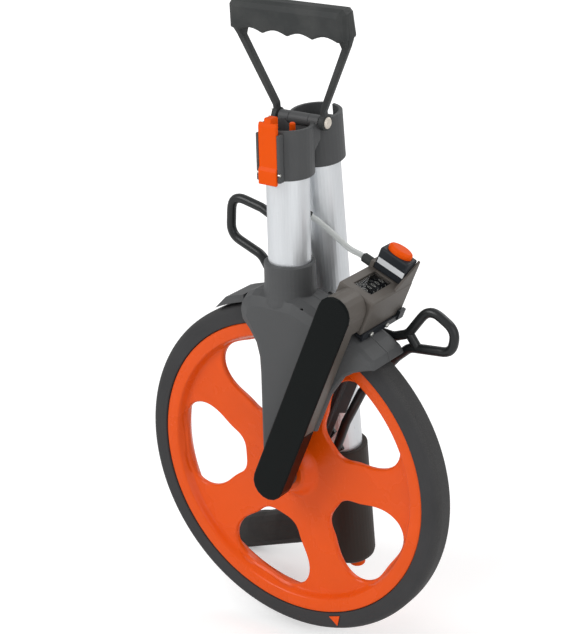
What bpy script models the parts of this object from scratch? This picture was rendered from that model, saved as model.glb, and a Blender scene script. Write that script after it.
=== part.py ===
"""Folding measuring wheel: belt driven counter on a fork, looped stand, hinged pole, carry handle.

The wheel rolls along X, its axle lies along Y and the pole stands along Z. Sizes are in metres.
Pieces are modelled about the wheel's centre and the whole is set down so that its box rests on Z = 0.
"""
import bpy
import bmesh
from math import acos, cos, hypot, pi, radians, sin, sqrt
from mathutils import Matrix, Vector

# General fits
GAP = 0.0003
MOVING_GAP = 0.0006
OVERRUN = 0.002
SINK = 0.0012
MERGE = 0.00001

# Wheel
WHEEL_STEPS = 48
TYRE_RADIUS = 0.15915
TYRE_WIDTH = 0.0244
TYRE_SHOULDER = 0.007
RIM_RADIUS = 0.1414
RIM_WIDTH = 0.0216
RIM_RING = 0.0112
RIM_FILLET = 0.0058
KEY_DEPTH = 0.0036
KEY_WIDTH = 0.0086
WEB = 0.0062
HUB_RADIUS = 0.0175
HUB_FILLET = 0.0125
HUB_LENGTH = 0.0276
NOSE_RADIUS = 0.0096
NOSE_END = 0.0365
HOLE_COUNT = 5
HOLE_STEPS = 20
HOLE_RING = 0.0771
HOLE_SIZE = 0.0366
HOLE_FIRST = radians(182.6)
HOLE_EDGE = 0.0014
HOLE_WAVE_SHARES = (0.4290, 0.0322, -0.1082, -0.0825)
MARK_WIDTH = 0.0125
MARK_LENGTH = 0.0095
MARK_THICK = 0.0007
MARK_RING = 0.1443
MARK_ANGLE = radians(-69.6)

# Axle line
AXLE_RADIUS = 0.0040
AXLE_FRONT = 0.0395
AXLE_BACK = 0.0425
BEARING_RADIUS = 0.0080
BEARING_WIDTH = 0.0050
BUSH_RADIUS = 0.0060
NUT_RADIUS = 0.0075
NUT_THICK = 0.0055
WASHER_RADIUS = 0.0085
WASHER_THICK = 0.0012

# Belt drive, set in the tilted frame of the counter
COUNTER_TILT = radians(22.3)
SHAFT_REACH = 0.1915
SHAFT_RADIUS = 0.0020
PULLEY_RADIUS = 0.0134
PULLEY_GROOVE = 0.0120
PULLEY_FRONT = 0.0380
PULLEY_WIDTH = 0.0090
PULLEY_FLANGE = 0.0012
BELT_THICK = 0.0010
BELT_WIDTH = 0.0058
COVER_RADIUS = 0.0160
COVER_REACH = 0.1928
COVER_FRONT = 0.0420
COVER_WALL = 0.0017
COVER_EDGE = 0.0012
CASE_START = 0.0680
CASE_RADIUS = 0.0157
CASE_WALL = 0.0014
CASE_BACK = 0.0263
CASE_BACK_WALL = 0.0020
NECK_START = 0.1765
NECK_BACK = 0.0155

# Fork shells
FORK_FRONT = 0.0260
FORK_BACK = 0.0240
FORK_WALL = 0.0036
FORK_INNER = 0.0145
ARCH_RADIUS = 0.1616
ARCH_WALL = 0.0068
ARCH_LIP = 0.0050
SHOULDER_HALF = 0.0410
SHOULDER_TOP = 0.1735
SHOULDER_ROUND = 0.0120
LEG_HALF = 0.0166
LEG_ROUND = 0.0028
LEG_HUB = 0.0125
LEG_EDGE = 0.0178
WING_ANGLE = radians(51.6)
WING_START = radians(71)
WING_RAMP = radians(2.2)
WING_ROUND = 0.0075
WING_EDGE_SHARES = ((0.05, 0.995), (0.13, 0.958), (0.24, 0.905), (0.33, 0.845))
FENDER_TIP = radians(117.3)
FENDER_RAMP = radians(6.5)
FENDER_HALF = 0.0139
RIB_OFFSET = 0.0070
RIB_THICK = 0.0022
COLLAR_RADIUS = 0.0225
COLLAR_TOP = 0.2000
COLLAR_FLARE = 0.0032
COLLAR_FLARE_TOP = 0.1830
SCREW_SPREAD = 0.0270
SCREW_HEIGHT = 0.1655
SCREW_RADIUS = 0.0016
SCREW_HEAD = 0.0031
SCREW_HEAD_THICK = 0.0022
SCREW_LENGTH = 0.0400

# Lower tube and socket
TUBE_RADIUS = 0.0186
TUBE_WALL = 0.0020
TUBE_FOOT = 0.1663
TUBE_TOP = 0.2990
SOCKET_RADIUS = 0.0233
SOCKET_MOUTH = 0.0200
SOCKET_LENGTH = 0.0430
RIM_HEIGHT = 0.3200
HINGE_OFFSET = 0.0210
BARREL_RADIUS = 0.0055
BARREL_HALF = 0.0206
KNUCKLE_HALF = 0.0100
BOLT_RADIUS = 0.0030
BOLT_HEAD = 0.0050
BOLT_HEAD_THICK = 0.0024
WEB_DEPTH = 0.0090
WEB_REACH = 0.0034
SIDE_REACH = 0.0108
SIDE_THICK = 0.0028
PEG_RADIUS = 0.0026
PEG_OFFSET = 0.0060
PEG_TOP = 0.3225
PEG_FLANGE = 0.0050
PEG_TRAVEL = 0.0050
GUIDE_THICK = 0.0080

# Latch
LATCH_HALF = 0.0093
LATCH_FRONT = 0.0275
LATCH_BACK = 0.0242
LATCH_TAIL = 0.2745
LATCH_STEP = 0.2880
LATCH_STEP_DEPTH = 0.0016
LATCH_TOP = 0.3272
NIB_TOP = 0.3310
NIB_HALF = 0.0034
NIB_INNER = 0.0165
LATCH_EDGE = 0.0010
LATCH_PIN_RADIUS = 0.0013
LATCH_PIN_HEIGHT = 0.2840
LATCH_PIN_DEPTH = 0.0264
CHEEK_HALF = 0.0122
CHEEK_TOP = 0.3180
SPRING_WIDTH = 0.0040
SPRING_LENGTH = 0.0120
SPRING_THICK = 0.0006
SPRING_POCKET = 0.0020

# Folded upper pole, in its own frame below the hinge
POLE_TILT = radians(6.15)
UPPER_TUBE_END = 0.3500
BODY_RADIUS = 0.0235
BODY_START = 0.3320
BODY_END = 0.4600
BODY_ROUND = 0.0070
GRIP_LEAVES = 0.4210
GRIP_SLOPE = radians(23.2)
GRIP_LENGTH = 0.1500
GRIP_RADIUS = 0.0183
GRIP_CORE = 0.0148
GRIP_WAVE = 0.0011
GRIP_WAVES = 4
GRIP_CAP = 0.0035
THUMB_OFFSET = 0.0060
THUMB_RADIUS = 0.0078
THUMB_PROUD = 0.0100
THUMB_SUNK = 0.0080
THUMB_ROUND = 0.0014
ROD_RADIUS = 0.0022
ROD_REACH = 0.0085
CATCH_HALF = 0.0092
CATCH_DEPTH = 0.0026
CATCH_TOP = 0.0125
CATCH_LENGTH = 0.0120
HANDLE_SCREW_STEP = 0.0300

# Carry handle, in its own frame on the hinge bolt
CARRY_LEAN = radians(7.3)
LUG_INNER = 0.0221
LUG_WIDTH = 0.0046
LUG_RADIUS = 0.0070
LEG_DEPTH = 0.0066
CARRY_KNEE = 0.0105
CARRY_SHOULDER = 0.0700
CARRY_LEG_WIDTH = 0.0082
CARRY_HALF = 0.0585
CARRY_GRIP_LOW = 0.0780
CARRY_GRIP_TOP = 0.1015
CARRY_GRIP_DEPTH = 0.0200
CARRY_GRIP_ROUND = 0.0062
CARRY_WAVE = 0.0035
CARRY_WAVES = 4
CARRY_TAPER = 0.0130

# Counter, in the tilted frame: v across, y along the axle, u away from the hub
HOUSING_LEFT = 0.0180
HOUSING_RIGHT = 0.0187
HOUSING_FRONT = 0.0150
HOUSING_BACK = 0.0475
HOUSING_FOOT = 0.1722
HOUSING_TOP = 0.2060
HOUSING_EDGE = 0.0016
HOUSING_WALL = 0.0022
WINDOW_LEFT = 0.0088
WINDOW_RIGHT = 0.0080
WINDOW_FRONT = 0.0045
WINDOW_BACK = 0.0292
LENS_THICK = 0.0012
LENS_SET = 0.0011
LEDGE = 0.0010
DRUM_COUNT = 5
DRUM_RADIUS = 0.0118
DRUM_PITCH = 0.0060
DRUM_FIRST = 0.0020
BLOCK_LEFT = 0.0140
BLOCK_RIGHT = 0.0158
BLOCK_FRONT = 0.0303
BLOCK_TOP = 0.2280
CHEEK_LOW = 0.0210
CHEEK_THICK = 0.0020
LABEL_LOW = 0.2140
LABEL_HIGH = 0.2192
LABEL_THICK = 0.0006
LABEL_INSET = 0.0020
RESET_CENTRE = 0.0390
RESET_HALF_WIDE = 0.0118
RESET_HALF_DEEP = 0.0068
RESET_PROUD = 0.0050
RESET_SUNK = 0.0060
RESET_TRAVEL = 0.0030
RESET_ROUND = 0.0024
BOOT_RADIUS = 0.0043
BOOT_LENGTH = 0.0102
BOOT_REACH = 0.2065
BOOT_DEEP = 0.0360
BRACKET_THICK = 0.0022
FLANGE_FOOT = 0.1680
FLANGE_THICK = 0.0020
BRACKET_SCREW = 0.0024
TAB_LENGTH = 0.0070

# Clear hose with the reset cable inside, from the tube's grommet to the boot
HOSE_RADIUS = 0.0026
HOSE_BORE = 0.0016
CORE_RADIUS = 0.0009
GROMMET_RADIUS = 0.0042
GROMMET_THICK = 0.0020
HOSE_ROUTE = (
    (0.0072, 0.0186, 0.2362),
    (0.0120, 0.0222, 0.2325),
    (0.0205, 0.0266, 0.2245),
    (0.0300, 0.0305, 0.2155),
    (0.0395, 0.0338, 0.2072),
    (0.0480, 0.0358, 0.2015),
)

# Stand, two bent rods that turn on the axle behind the fork
STAND_DEEP = 0.0294
STAND_ROD = 0.0043
STAND_EYE = 0.0110
STAND_EYE_THICK = 0.0037
STAND_REACH = 0.2300
STAND_BEND = 0.0150
LEFT_LEG_SHARES = (
    (-0.078, 0.109), (-0.087, 0.400), (-0.130, 0.652), (-0.228, 0.803), (-0.378, 0.862),
    (-0.366, 1.030), (-0.222, 0.998), (-0.095, 0.940), (0.000, 0.783), (0.020, 0.435), (0.004, 0.122),
)
RIGHT_LEG_SHARES = (
    (0.116, 0.061), (0.160, 0.183), (0.237, 0.335), (0.395, 0.519), (0.452, 0.570),
    (0.632, 0.589), (0.646, 0.680), (0.535, 0.748), (0.443, 0.622), (0.378, 0.598),
    (0.270, 0.609), (0.174, 0.435), (0.087, 0.217), (0.080, 0.117),
)
CROSSBAR_SHARES = ((0.446, 0.628), (0.486, 0.573))


def clear_scene():
    for old in list(bpy.data.objects):
        bpy.data.objects.remove(old, do_unlink=True)


def new_collection(name):
    made = bpy.data.collections.new(name)
    bpy.context.scene.collection.children.link(made)
    return made


clear_scene()
PARTS = new_collection("measuring_wheel")
CUTTERS = new_collection("cutters")


def material(name, colour, roughness, metallic=0.0, alpha=1.0, transmission=0.0):
    made = bpy.data.materials.new(name)
    made.use_nodes = True
    shader = made.node_tree.nodes["Principled BSDF"]
    shader.inputs["Base Color"].default_value = (*colour, 1.0)
    shader.inputs["Roughness"].default_value = roughness
    shader.inputs["Metallic"].default_value = metallic
    shader.inputs["Alpha"].default_value = alpha
    shader.inputs["Transmission Weight"].default_value = transmission
    return made


ORANGE = material("orange_plastic", (0.84, 0.12, 0.012), 0.35)
TYRE_RUBBER = material("tyre_rubber", (0.055, 0.060, 0.064), 0.75)
DARK = material("dark_plastic", (0.085, 0.083, 0.082), 0.50)
BLACK = material("black_plastic", (0.016, 0.018, 0.018), 0.30)
RUBBER = material("black_rubber", (0.025, 0.025, 0.026), 0.80)
ALUMINIUM = material("satin_aluminium", (0.72, 0.74, 0.76), 0.32, metallic=1.0)
STEEL = material("steel", (0.62, 0.62, 0.60), 0.28, metallic=1.0)
COATED = material("coated_steel", (0.022, 0.022, 0.024), 0.38)
WHITE = material("white_plastic", (0.80, 0.80, 0.78), 0.45)
CLEAR = material("clear_plastic", (0.86, 0.88, 0.88), 0.12, alpha=0.4, transmission=0.8)


# Meshes

def finished(bm, name="solid"):
    """Mesh from a bmesh, with doubles welded and every normal outward."""
    bmesh.ops.remove_doubles(bm, verts=bm.verts, dist=MERGE)
    bmesh.ops.recalc_face_normals(bm, faces=bm.faces)
    mesh = bpy.data.meshes.new(name)
    bm.to_mesh(mesh)
    bm.free()
    return mesh


def baked(maker):
    """Mesh of a helper object as its modifiers leave it, welded; the helper is removed."""
    graph = bpy.context.evaluated_depsgraph_get()
    shape = bpy.data.meshes.new_from_object(maker.evaluated_get(graph))
    shape.transform(maker.matrix_world)
    bpy.data.objects.remove(maker)
    bm = bmesh.new()
    bm.from_mesh(shape)
    return finished(bm)


def helper(data):
    """Object for a modifier or a curve, in the scene only until its mesh is taken."""
    maker = bpy.data.objects.new("helper", data)
    bpy.context.scene.collection.objects.link(maker)
    return maker


def across(axis, at=(0, 0)):
    """Matrix that lays a shape made along Z on another axis, at its two other coordinates."""
    if axis == "X":
        return Matrix.Translation((0, at[0], at[1])) @ Matrix.Rotation(pi / 2, 4, "Y")
    if axis == "Y":
        return Matrix.Translation((at[0], 0, at[1])) @ Matrix.Rotation(-pi / 2, 4, "X")
    return Matrix.Translation((at[0], at[1], 0))


def box(x, y, z):
    bm = bmesh.new()
    bmesh.ops.create_cube(bm, size=1)
    sizes = [high - low for low, high in (x, y, z)]
    middle = [(high + low) / 2 for low, high in (x, y, z)]
    fit = Matrix.Translation(middle) @ Matrix.Diagonal((*sizes, 1))
    bmesh.ops.transform(bm, matrix=fit, verts=bm.verts)
    return finished(bm)


def cylinder(radius, start, end, axis="Z", at=(0, 0), steps=32):
    bm = bmesh.new()
    bmesh.ops.create_cone(bm, cap_ends=True, segments=steps, radius1=radius, radius2=radius,
                          depth=end - start)
    lift = Matrix.Translation((0, 0, (start + end) / 2))
    bmesh.ops.transform(bm, matrix=across(axis, at) @ lift, verts=bm.verts)
    return finished(bm)


def turned(profile, axis="Z", at=(0, 0), steps=40):
    """Profile of (radius, height) points, down its outer side, turned about an axis."""
    mesh = bpy.data.meshes.new("profile")
    count = len(profile)
    on_axis = profile[0][0] == 0 and profile[-1][0] == 0
    edges = [(i, (i + 1) % count) for i in range(count - 1 if on_axis else count)]
    mesh.from_pydata([(radius, 0, height) for radius, height in profile], edges, [])
    maker = helper(mesh)
    screw = maker.modifiers.new("turn", "SCREW")
    screw.steps = steps
    screw.render_steps = steps
    screw.use_merge_vertices = True
    screw.merge_threshold = MERGE
    shape = baked(maker)
    shape.transform(across(axis, at))
    return shape


def ring(inner, outer, start, end, axis="Z", at=(0, 0), steps=32):
    profile = ((outer, end), (outer, start), (inner, start), (inner, end))
    return turned(profile, axis, at, steps)


def plate(outlines, low, high, axis="Y"):
    """Flat outline, with any holes, between two planes across an axis."""
    curve = bpy.data.curves.new("outline", "CURVE")
    curve.dimensions = "2D"
    curve.fill_mode = "BOTH"
    curve.extrude = (high - low) / 2
    for outline in outlines:
        spline = curve.splines.new("POLY")
        spline.points.add(len(outline) - 1)
        for point, (a, b) in zip(spline.points, outline):
            point.co = (a, b, 0, 1)
        spline.use_cyclic_u = True
    shape = baked(helper(curve))
    turn = {"X": ((0, 0, 1), (1, 0, 0), (0, 1, 0)), "Y": ((1, 0, 0), (0, 0, -1), (0, 1, 0)),
            "Z": ((1, 0, 0), (0, 1, 0), (0, 0, 1))}[axis]
    middle = Vector([(low + high) / 2 if name == axis else 0 for name in "XYZ"])
    shape.transform(Matrix.Translation(middle) @ Matrix(turn).to_4x4())
    bm = bmesh.new()
    bm.from_mesh(shape)
    bmesh.ops.dissolve_limit(bm, angle_limit=radians(1), verts=bm.verts, edges=bm.edges)
    return finished(bm)


def loft(rings):
    """Closed solid through rings of equally many points, from one end to the other."""
    bm = bmesh.new()
    loops = [[bm.verts.new(point) for point in points] for points in rings]
    for near, far in zip(loops, loops[1:]):
        for i, corner in enumerate(near):
            j = (i + 1) % len(near)
            bm.faces.new((corner, near[j], far[j], far[i]))
    bm.faces.new(loops[0])
    bm.faces.new(list(reversed(loops[-1])))
    return finished(bm)


def inward(outline):
    """Mitred inward direction at each corner of an outline that runs clockwise or the other way."""
    area = sum(a[0] * b[1] - b[0] * a[1] for a, b in zip(outline, outline[1:] + outline[:1]))
    side = 1 if area > 0 else -1
    normals = []
    for before, here, after in zip(outline[-1:] + outline[:-1], outline, outline[1:] + outline[:1]):
        first = (Vector(here) - Vector(before)).normalized()
        second = (Vector(after) - Vector(here)).normalized()
        mean = (first + second).normalized()
        stretch = min(1.6, 1 / max(0.3, mean.dot(first)))
        normals.append(Vector((-mean.y, mean.x)) * side * stretch)
    return normals


def pillow(outline, rounds, front, back, steps=2, both=False):
    """Solid behind a flat outline in X and Z, its front edge rounded by a radius at each corner."""
    normals = inward(outline)
    way = 1 if back > front else -1

    def edge(turn, plane, heading):
        inset = 1 - sin(turn)
        depth = 1 - cos(turn)
        return [(x + n.x * r * inset, plane + heading * r * depth, z + n.y * r * inset)
                for (x, z), n, r in zip(outline, normals, rounds)]

    turns = [pi / 2 * step / steps for step in range(steps + 1)]
    rings = [edge(turn, front, way) for turn in turns]
    if both:
        rings += [edge(turn, back, -way) for turn in reversed(turns)]
    else:
        rings.append([(x, back, z) for x, z in outline])
    return loft(rings)


def softened(mesh, width, segments=2, limit=radians(35)):
    """Mesh with its sharp edges rounded."""
    maker = helper(mesh)
    bevel = maker.modifiers.new("round", "BEVEL")
    bevel.width = width
    bevel.segments = segments
    bevel.limit_method = "ANGLE"
    bevel.angle_limit = limit
    return baked(maker)


def bend(points, radius, steps=3, closed=False):
    """Path through points with each corner replaced by an arc."""
    path = []
    corners = [Vector(point) for point in points]
    count = len(corners)
    for i, here in enumerate(corners):
        if not closed and i in (0, count - 1):
            path.append(here)
            continue
        before = corners[i - 1]
        after = corners[(i + 1) % count]
        first = (before - here).normalized()
        second = (after - here).normalized()
        half = first.angle(second) / 2
        cut = min(radius / max(0.01, sin(half) / cos(half)), 0.45 * (before - here).length,
                  0.45 * (after - here).length)
        start = here + first * cut
        end = here + second * cut
        for step in range(steps + 1):
            share = step / steps
            path.append(start.lerp(here, share).lerp(here.lerp(end, share), share))
    return path


def rod(points, radius, sides=3, capped=True):
    """Round bar along a path, with closed ends unless it is only a skin."""
    curve = bpy.data.curves.new("rod", "CURVE")
    curve.dimensions = "3D"
    curve.bevel_depth = radius
    curve.bevel_resolution = sides
    curve.use_fill_caps = capped
    spline = curve.splines.new("POLY")
    spline.points.add(len(points) - 1)
    for point, place in zip(spline.points, points):
        point.co = (*place, 1)
    return baked(helper(curve))


def hose(points, radius, wall):
    """Hollow bar along a path, open at both ends."""
    maker = helper(rod(points, radius, 2, capped=False))
    shell = maker.modifiers.new("wall", "SOLIDIFY")
    shell.thickness = wall
    shell.offset = -1
    return baked(maker)


def arc(x, z, radius, start, end, steps):
    turns = [start + (end - start) * step / steps for step in range(steps + 1)]
    return [(x + radius * cos(turn), z + radius * sin(turn)) for turn in turns]


def stadium(radius, reach, start=0.0, steps=8):
    """Slot outline in (v, u) with round ends at the hub and at its reach."""
    return arc(0, reach, radius, 0, pi, steps) + arc(0, start, radius, pi, 2 * pi, steps)


def oval(x, z, half_x, half_z, steps=24):
    turns = [2 * pi * step / steps for step in range(steps)]
    return [(x + half_x * cos(turn), z + half_z * sin(turn)) for turn in turns]


# Objects

def frame(name, parent=None, location=(0, 0, 0), rotation=(0, 0, 0)):
    empty = bpy.data.objects.new(name, None)
    PARTS.objects.link(empty)
    empty.parent = parent
    empty.location = location
    empty.rotation_euler = rotation
    return empty


def piece(name, mesh, parent, look, location=(0, 0, 0)):
    """Named part, its mesh given about its own origin."""
    made = bpy.data.objects.new(name, mesh)
    PARTS.objects.link(made)
    made.parent = parent
    made.location = location
    mesh.materials.clear()
    mesh.materials.append(look)
    mesh.shade_smooth()
    mesh.set_sharp_from_angle(angle=radians(32))
    return made


def tool(target, mesh, operation, parent=None):
    """Boolean on a part; the other shape is given in the part's parent frame, or in another's."""
    other = bpy.data.objects.new(target.name + "_tool", mesh)
    CUTTERS.objects.link(other)
    other.parent = parent or target.parent
    other.hide_render = True
    other.display_type = "WIRE"
    step = target.modifiers.new(operation.lower(), "BOOLEAN")
    step.operation = operation
    step.solver = "EXACT"
    step.object = other
    return other


def join(target, *meshes, parent=None):
    for mesh in meshes:
        tool(target, mesh, "UNION", parent)


def cut(target, *meshes, parent=None):
    for mesh in meshes:
        tool(target, mesh, "DIFFERENCE", parent)


GROUND = frame("ground_frame")
COUNTER = frame("counter_frame", GROUND, rotation=(0, COUNTER_TILT, 0))
WHEEL = frame("wheel_axis", GROUND)
HINGE = frame("hinge_axis", GROUND, (0, HINGE_OFFSET, RIM_HEIGHT), (POLE_TILT, 0, 0))
CARRY = frame("carry_axis", GROUND, (0, HINGE_OFFSET, RIM_HEIGHT), (CARRY_LEAN, 0, 0))
LATCH = frame("latch_axis", GROUND, (0, -LATCH_PIN_DEPTH, LATCH_PIN_HEIGHT))


def tilted(v, u):
    """Upright (x, z) of a place given in the tilted frame of the counter."""
    return (v * cos(COUNTER_TILT) + u * sin(COUNTER_TILT), u * cos(COUNTER_TILT) - v * sin(COUNTER_TILT))


# Wheel pieces

def s_curve(start, end, steps):
    """Points of a soft step from one (radius, height) to another."""
    shares = [step / steps for step in range(steps + 1)]
    return [(start[0] + (end[0] - start[0]) * share,
             start[1] + (end[1] - start[1]) * share * share * (3 - 2 * share)) for share in shares]


def make_tyre():
    half = TYRE_WIDTH / 2
    seat = RIM_RADIUS + GAP
    shoulder = TYRE_RADIUS - TYRE_SHOULDER
    turns = [pi / 2 * step / 3 for step in range(4)]
    rear = [(shoulder + TYRE_SHOULDER * sin(turn), half - TYRE_SHOULDER * (1 - cos(turn)))
            for turn in turns]
    front = [(radius, -height) for radius, height in reversed(rear)]
    key_seat = RIM_RADIUS - KEY_DEPTH + GAP
    key_half = KEY_WIDTH / 2 - GAP
    inside = [(seat, -half + GAP), (seat, -key_half), (key_seat, -key_half), (key_seat, key_half),
              (seat, key_half), (seat, half - GAP)]
    piece("tyre", turned(rear + front + inside, "Y", steps=WHEEL_STEPS), WHEEL, TYRE_RUBBER)


def hole_outline(grow):
    """Rounded triangle of one wheel hole in (outward, around) about the hole's centre."""
    points = []
    for step in range(HOLE_STEPS):
        turn = 2 * pi * step / HOLE_STEPS
        wave = 1 + sum(share * cos((order + 1) * turn) for order, share in enumerate(HOLE_WAVE_SHARES))
        radius = HOLE_SIZE * wave + grow
        points.append((radius * cos(turn), radius * sin(turn)))
    return points


def hole_cutter(index):
    """Hole through the web, wider at both faces so that its edges come out rounded."""
    way = HOLE_FIRST + 2 * pi * index / HOLE_COUNT
    lift = SINK / 2
    wide = HOLE_EDGE + lift
    levels = ((-RIM_WIDTH, wide), (-WEB / 2 - lift, wide), (-WEB / 2 + HOLE_EDGE, 0),
              (WEB / 2 - HOLE_EDGE, 0), (WEB / 2 + lift, wide), (RIM_WIDTH, wide))
    return loft([[((HOLE_RING + a) * cos(way) - b * sin(way), depth,
                   (HOLE_RING + a) * sin(way) + b * cos(way)) for a, b in hole_outline(grow)]
                 for depth, grow in levels])


def make_wheel_disc():
    """One disc: hub with nose and bearing pockets, thin web, raised outer ring with a tyre groove."""
    half = WEB / 2
    face = HUB_LENGTH / 2
    rim_half = RIM_WIDTH / 2
    ring_inner = RIM_RADIUS - RIM_RING
    pocket = BEARING_RADIUS + GAP
    bore = AXLE_RADIUS + MOVING_GAP
    groove = RIM_RADIUS - KEY_DEPTH
    hub_rear = s_curve((HUB_RADIUS, face), (HUB_RADIUS + HUB_FILLET, half), 3)
    rim_rear = s_curve((ring_inner - RIM_FILLET, half), (ring_inner, rim_half), 2)
    rear = [(pocket, face)] + hub_rear + rim_rear + [(RIM_RADIUS, rim_half), (RIM_RADIUS, KEY_WIDTH / 2),
                                                      (groove, KEY_WIDTH / 2)]
    front = [(radius, -height) for radius, height in reversed(rear[1:])]
    nose = [(NOSE_RADIUS, -face), (NOSE_RADIUS, -NOSE_END), (pocket, -NOSE_END),
            (pocket, -NOSE_END + BEARING_WIDTH + GAP), (bore, -NOSE_END + BEARING_WIDTH + GAP),
            (bore, face - BEARING_WIDTH - GAP), (pocket, face - BEARING_WIDTH - GAP)]
    disc = piece("wheel_disc", turned(rear + front + nose, "Y", steps=WHEEL_STEPS), WHEEL, ORANGE)
    cut(disc, *[hole_cutter(index) for index in range(HOLE_COUNT)])


def make_zero_mark():
    """Small raised arrow on the tyre's side that marks where a turn starts."""
    way = Vector((cos(MARK_ANGLE), sin(MARK_ANGLE)))
    side = Vector((-way.y, way.x))
    foot = way * MARK_RING
    outline = [foot - side * MARK_WIDTH / 2, foot + side * MARK_WIDTH / 2, foot + way * MARK_LENGTH]
    top = -TYRE_WIDTH / 2 - GAP
    piece("zero_mark", plate([[tuple(point) for point in outline]], top - MARK_THICK, top), WHEEL, ORANGE)


def make_bearings():
    inner = AXLE_RADIUS + GAP
    rear = HUB_LENGTH / 2
    for name, start in (("bearing_front", -NOSE_END), ("bearing_rear", rear - BEARING_WIDTH)):
        end = start + BEARING_WIDTH
        piece(name, ring(inner, BEARING_RADIUS, start, end, "Y", steps=24), WHEEL, STEEL)


def pulley(bore, parent, name):
    """Flanged belt pulley about the parent's Y axis."""
    start = -PULLEY_FRONT
    end = start + PULLEY_WIDTH
    profile = ((PULLEY_RADIUS, end), (PULLEY_RADIUS, end - PULLEY_FLANGE),
               (PULLEY_GROOVE, end - PULLEY_FLANGE), (PULLEY_GROOVE, start + PULLEY_FLANGE),
               (PULLEY_RADIUS, start + PULLEY_FLANGE), (PULLEY_RADIUS, start), (bore, start), (bore, end))
    return piece(name, turned(profile, "Y", steps=24), parent, BLACK)


def make_wheel():
    make_tyre()
    make_wheel_disc()
    make_zero_mark()
    make_bearings()
    pulley(NOSE_RADIUS + GAP, WHEEL, "drive_pulley")


# Axle line

EYE_FRONT = STAND_DEEP - GAP / 2 - STAND_EYE_THICK
EYE_BACK = STAND_DEEP + GAP / 2 + STAND_EYE_THICK


def make_axle():
    piece("axle", cylinder(AXLE_RADIUS, -AXLE_FRONT, AXLE_BACK, "Y", steps=24), GROUND, STEEL)
    bush = ring(AXLE_RADIUS + GAP, BUSH_RADIUS, FORK_BACK + GAP, EYE_BACK + GAP, "Y", steps=24)
    piece("stand_bush", bush, GROUND, STEEL)
    washer_start = EYE_BACK + 2 * GAP
    washer_end = washer_start + WASHER_THICK
    washer = ring(AXLE_RADIUS + GAP, WASHER_RADIUS, washer_start, washer_end, "Y", steps=24)
    piece("axle_washer", washer, GROUND, STEEL)
    start = washer_end + GAP
    end = start + NUT_THICK
    nut = piece("axle_nut", cylinder(NUT_RADIUS, start, end, "Y", steps=6), GROUND, STEEL)
    cut(nut, cylinder(AXLE_RADIUS + GAP, start - OVERRUN, end + OVERRUN, "Y", steps=24))


# Fork shells

def fork_outline():
    """Front view of a fork shell in (x, z): shoulder, fender arm, wing and leg, with edge radii."""
    half = SHOULDER_HALF
    top = SHOULDER_TOP
    drop = SHOULDER_TOP - ARCH_RADIUS
    shoulder = SHOULDER_ROUND
    thin = LEG_ROUND
    points = [
        (-LEG_HALF, LEG_HUB, thin), (-LEG_HALF, half * 2.4, thin),
        (-LEG_HALF * 1.06, half * 2.78, thin * 1.2),
        (-LEG_HALF * 1.3, half * 3.07, thin * 1.8), (-half * 0.72, half * 3.32, shoulder * 0.6),
        (-half * 0.94, half * 3.50, shoulder * 0.85), (-half, half * 3.68, shoulder),
        (-half, top - drop * 1.5, shoulder), (-half * 0.96, top - drop * 0.95, shoulder),
        (-half * 0.84, top - drop * 0.45, shoulder), (-half * 0.66, top - drop * 0.12, shoulder),
        (-half * 0.45, top, shoulder), (half * 0.45, top, shoulder),
        (half * 0.80, top - drop * 0.42, shoulder),
    ]
    outer = ARCH_RADIUS + ARCH_WALL
    for step in range(5):
        turn = WING_START + (WING_ANGLE + WING_RAMP - WING_START) * step / 4
        points.append((outer * cos(turn), outer * sin(turn), WING_ROUND * (1.1 - 0.1 * step)))
    tip = ARCH_RADIUS + ARCH_WALL * 0.35
    points.append((tip * cos(WING_ANGLE), tip * sin(WING_ANGLE), WING_ROUND * 0.30))
    for turn_share, radius_share in WING_EDGE_SHARES:
        turn = WING_ANGLE + (WING_START - WING_ANGLE) * turn_share
        radius = ARCH_RADIUS * radius_share
        points.append((radius * cos(turn), radius * sin(turn), WING_ROUND * 0.30))
    points += [(*tilted(LEG_EDGE, CASE_START * 1.62), thin), (*tilted(LEG_EDGE, CASE_START), thin),
               (*tilted(LEG_HUB, CASE_START * 0.94), thin), (*tilted(LEG_HUB, LEG_HUB * 0.3), thin)]
    for step in range(1, 6):
        turn = -COUNTER_TILT - (pi - COUNTER_TILT) * step / 6
        points.append((LEG_HUB * cos(turn), LEG_HUB * sin(turn), thin))
    points.append((-LEG_HALF * 0.86, 0, thin))
    return [(x, z) for x, z, r in points], [r for x, z, r in points]


def collar_flare(limit):
    """Half collar round the tube with a soft foot, as a turned solid."""
    foot = SCREW_HEIGHT - ARCH_WALL
    reach = min(COLLAR_FLARE, limit - COLLAR_RADIUS - GAP)
    base = COLLAR_RADIUS + reach
    shares = [step / 4 for step in range(5)]
    flare = [(COLLAR_RADIUS + reach * share * share, COLLAR_FLARE_TOP +
              (SCREW_HEIGHT - COLLAR_FLARE_TOP) * share) for share in shares]
    profile = [(0, COLLAR_TOP), (COLLAR_RADIUS - COVER_EDGE, COLLAR_TOP),
               (COLLAR_RADIUS, COLLAR_TOP - COVER_EDGE)] + flare + [(base, foot), (0, foot)]
    return turned(profile, steps=40)


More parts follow.
